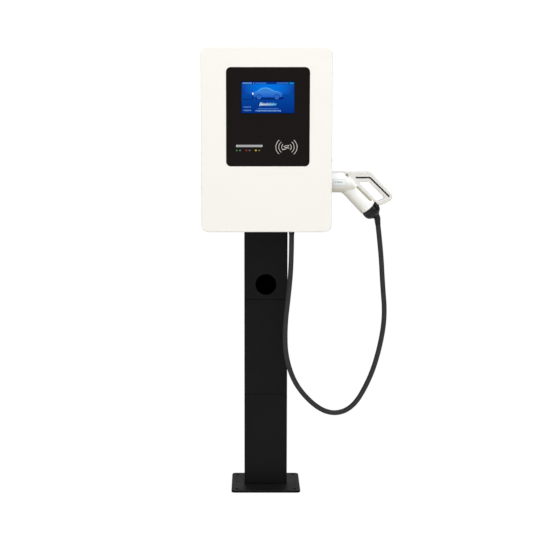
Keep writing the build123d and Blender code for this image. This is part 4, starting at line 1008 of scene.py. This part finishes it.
def entry_membrane():
    """Stepped rubber membrane in the base plate's supply cable hole."""
    heights = (0.6, 4.0, 5.0, 5.2, 7.0, 7.4)
    radii = (26.6, 26.6, 25.8, 17.0, 15.6, 6.0)
    path = [Vector((0.0, 0.0, z * MM)) for z in heights]
    piece = turned("entry_membrane", path, [r * MM for r in radii], "rubber_black")
    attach(piece, "post")


PORT_Z = 721.0 * MM             # height of the column's round opening


def port_blank():
    """Dished blanking plate behind the column's round accessory opening."""
    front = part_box("column_cover_upper")[0].y
    depths = (2.6, 3.4, 3.6, 5.0, 5.4)
    radii = (40.0, 40.0, 33.0, 30.0, 24.0)
    path = [Vector((0.0, front + d * MM, PORT_Z)) for d in depths]
    piece = turned("port_blank", path, [r * MM for r in radii], "port_black")
    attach(piece, "post")


MATERIALS["port_black"] = powder_coat("port_black", (0.0, 0.0, 0.0), 1.0, specular=0.0)
entry_membrane()
port_blank()


# ---- surroundings ----------------------------------------------------------------
FLOOR_GLOW = 1.08               # the floor's own light, in the camera's rays only
FLOOR_GLOW_SHARE = 0.88
SKY_BASE = 0.23                 # the world's light from the sides,
SKY_SPREAD = 2.05               # and what is added straight before and behind
SKY_GLOSSY_CUT = 0.86           # share of it that reflections don't see
SKY_CAMERA = 1.05


def make_floor():
    """Pale floor that the camera sees almost white, with a soft contact shadow."""
    mesh = bpy.data.meshes.new("floor")
    size = 30.0
    mesh.from_pydata([(-size, -size, 0), (size, -size, 0), (size, size, 0), (-size, size, 0)], [],
                     [(0, 1, 2, 3)])
    floor = bpy.data.objects.new("floor", mesh)
    SCENE.collection.objects.link(floor)
    s = Shader("floor_white", (0.57, 0.57, 0.57), 0.9, specular=0.05)
    s.vary_color(3.0, 0.02)
    ray = s.node("ShaderNodeLightPath").outputs["Is Camera Ray"]
    white = s.node("ShaderNodeEmission")
    white.inputs["Color"].default_value = (1.0, 1.0, 1.0, 1.0)
    white.inputs["Strength"].default_value = FLOOR_GLOW
    blend = s.node("ShaderNodeMixShader")
    s.link(s.math("MULTIPLY", ray, FLOOR_GLOW_SHARE), blend.inputs["Fac"])
    s.link(s.bsdf.outputs["BSDF"], blend.inputs[1])
    s.link(white.outputs["Emission"], blend.inputs[2])
    s.link(blend.outputs["Shader"], s.tree.nodes["Material Output"].inputs["Surface"])
    floor.data.materials.append(s.mat)


def make_world():
    """Soft boxes before and behind, dimmer sides; white where the camera sees it directly."""
    world = bpy.data.worlds.new("studio")
    world.use_nodes = True
    tree = world.node_tree
    split = tree.nodes.new("ShaderNodeSeparateXYZ")
    tree.links.new(tree.nodes.new("ShaderNodeTexCoord").outputs["Generated"], split.inputs["Vector"])

    def calc(operation, *terms):
        node = tree.nodes.new("ShaderNodeMath")
        node.operation = operation
        for socket, term in zip(node.inputs, terms):
            if isinstance(term, float):
                socket.default_value = term
            else:
                tree.links.new(term, socket)
        return node.outputs["Value"]

    along = split.outputs["Y"]
    light = calc("MULTIPLY_ADD", calc("MULTIPLY", along, along), SKY_SPREAD, SKY_BASE)
    path = tree.nodes.new("ShaderNodeLightPath").outputs
    light = calc("MULTIPLY", light, calc("MULTIPLY_ADD", path["Is Glossy Ray"], -SKY_GLOSSY_CUT, 1.0))
    mix = tree.nodes.new("ShaderNodeMix")
    mix.data_type = "FLOAT"
    tree.links.new(path["Is Camera Ray"], mix.inputs["Factor"])
    tree.links.new(light, mix.inputs["A"])
    mix.inputs["B"].default_value = SKY_CAMERA
    tree.links.new(mix.outputs["Result"], tree.nodes["Background"].inputs["Strength"])
    tree.nodes["Background"].inputs["Color"].default_value = (1.0, 1.0, 1.0, 1.0)
    SCENE.world = world


def area_light(name, place, target, size, power):
    """Rectangular lamp aimed at a point."""
    data = bpy.data.lights.new(name, "AREA")
    data.shape = "RECTANGLE"
    data.size, data.size_y = size
    data.energy = power
    obj = bpy.data.objects.new(name, data)
    obj.location = place
    aim = Vector(target) - Vector(place)
    obj.rotation_euler = aim.to_track_quat("-Z", "Y").to_euler()
    SCENE.collection.objects.link(obj)


make_floor()
make_world()
area_light("key", (2.4, -3.0, 3.4), (0, 0, 1.1), (2.2, 2.2), 14.5)
area_light("fill", (-2.8, -2.8, 2.4), (0, 0, 1.0), (2.0, 2.6), 6.0)
area_light("top", (0.2, -0.8, 4.2), (0, -0.1, 0.6), (2.6, 2.0), 45.0)
SCENE.view_settings.view_transform = "Standard"
SCENE.view_settings.look = "None"
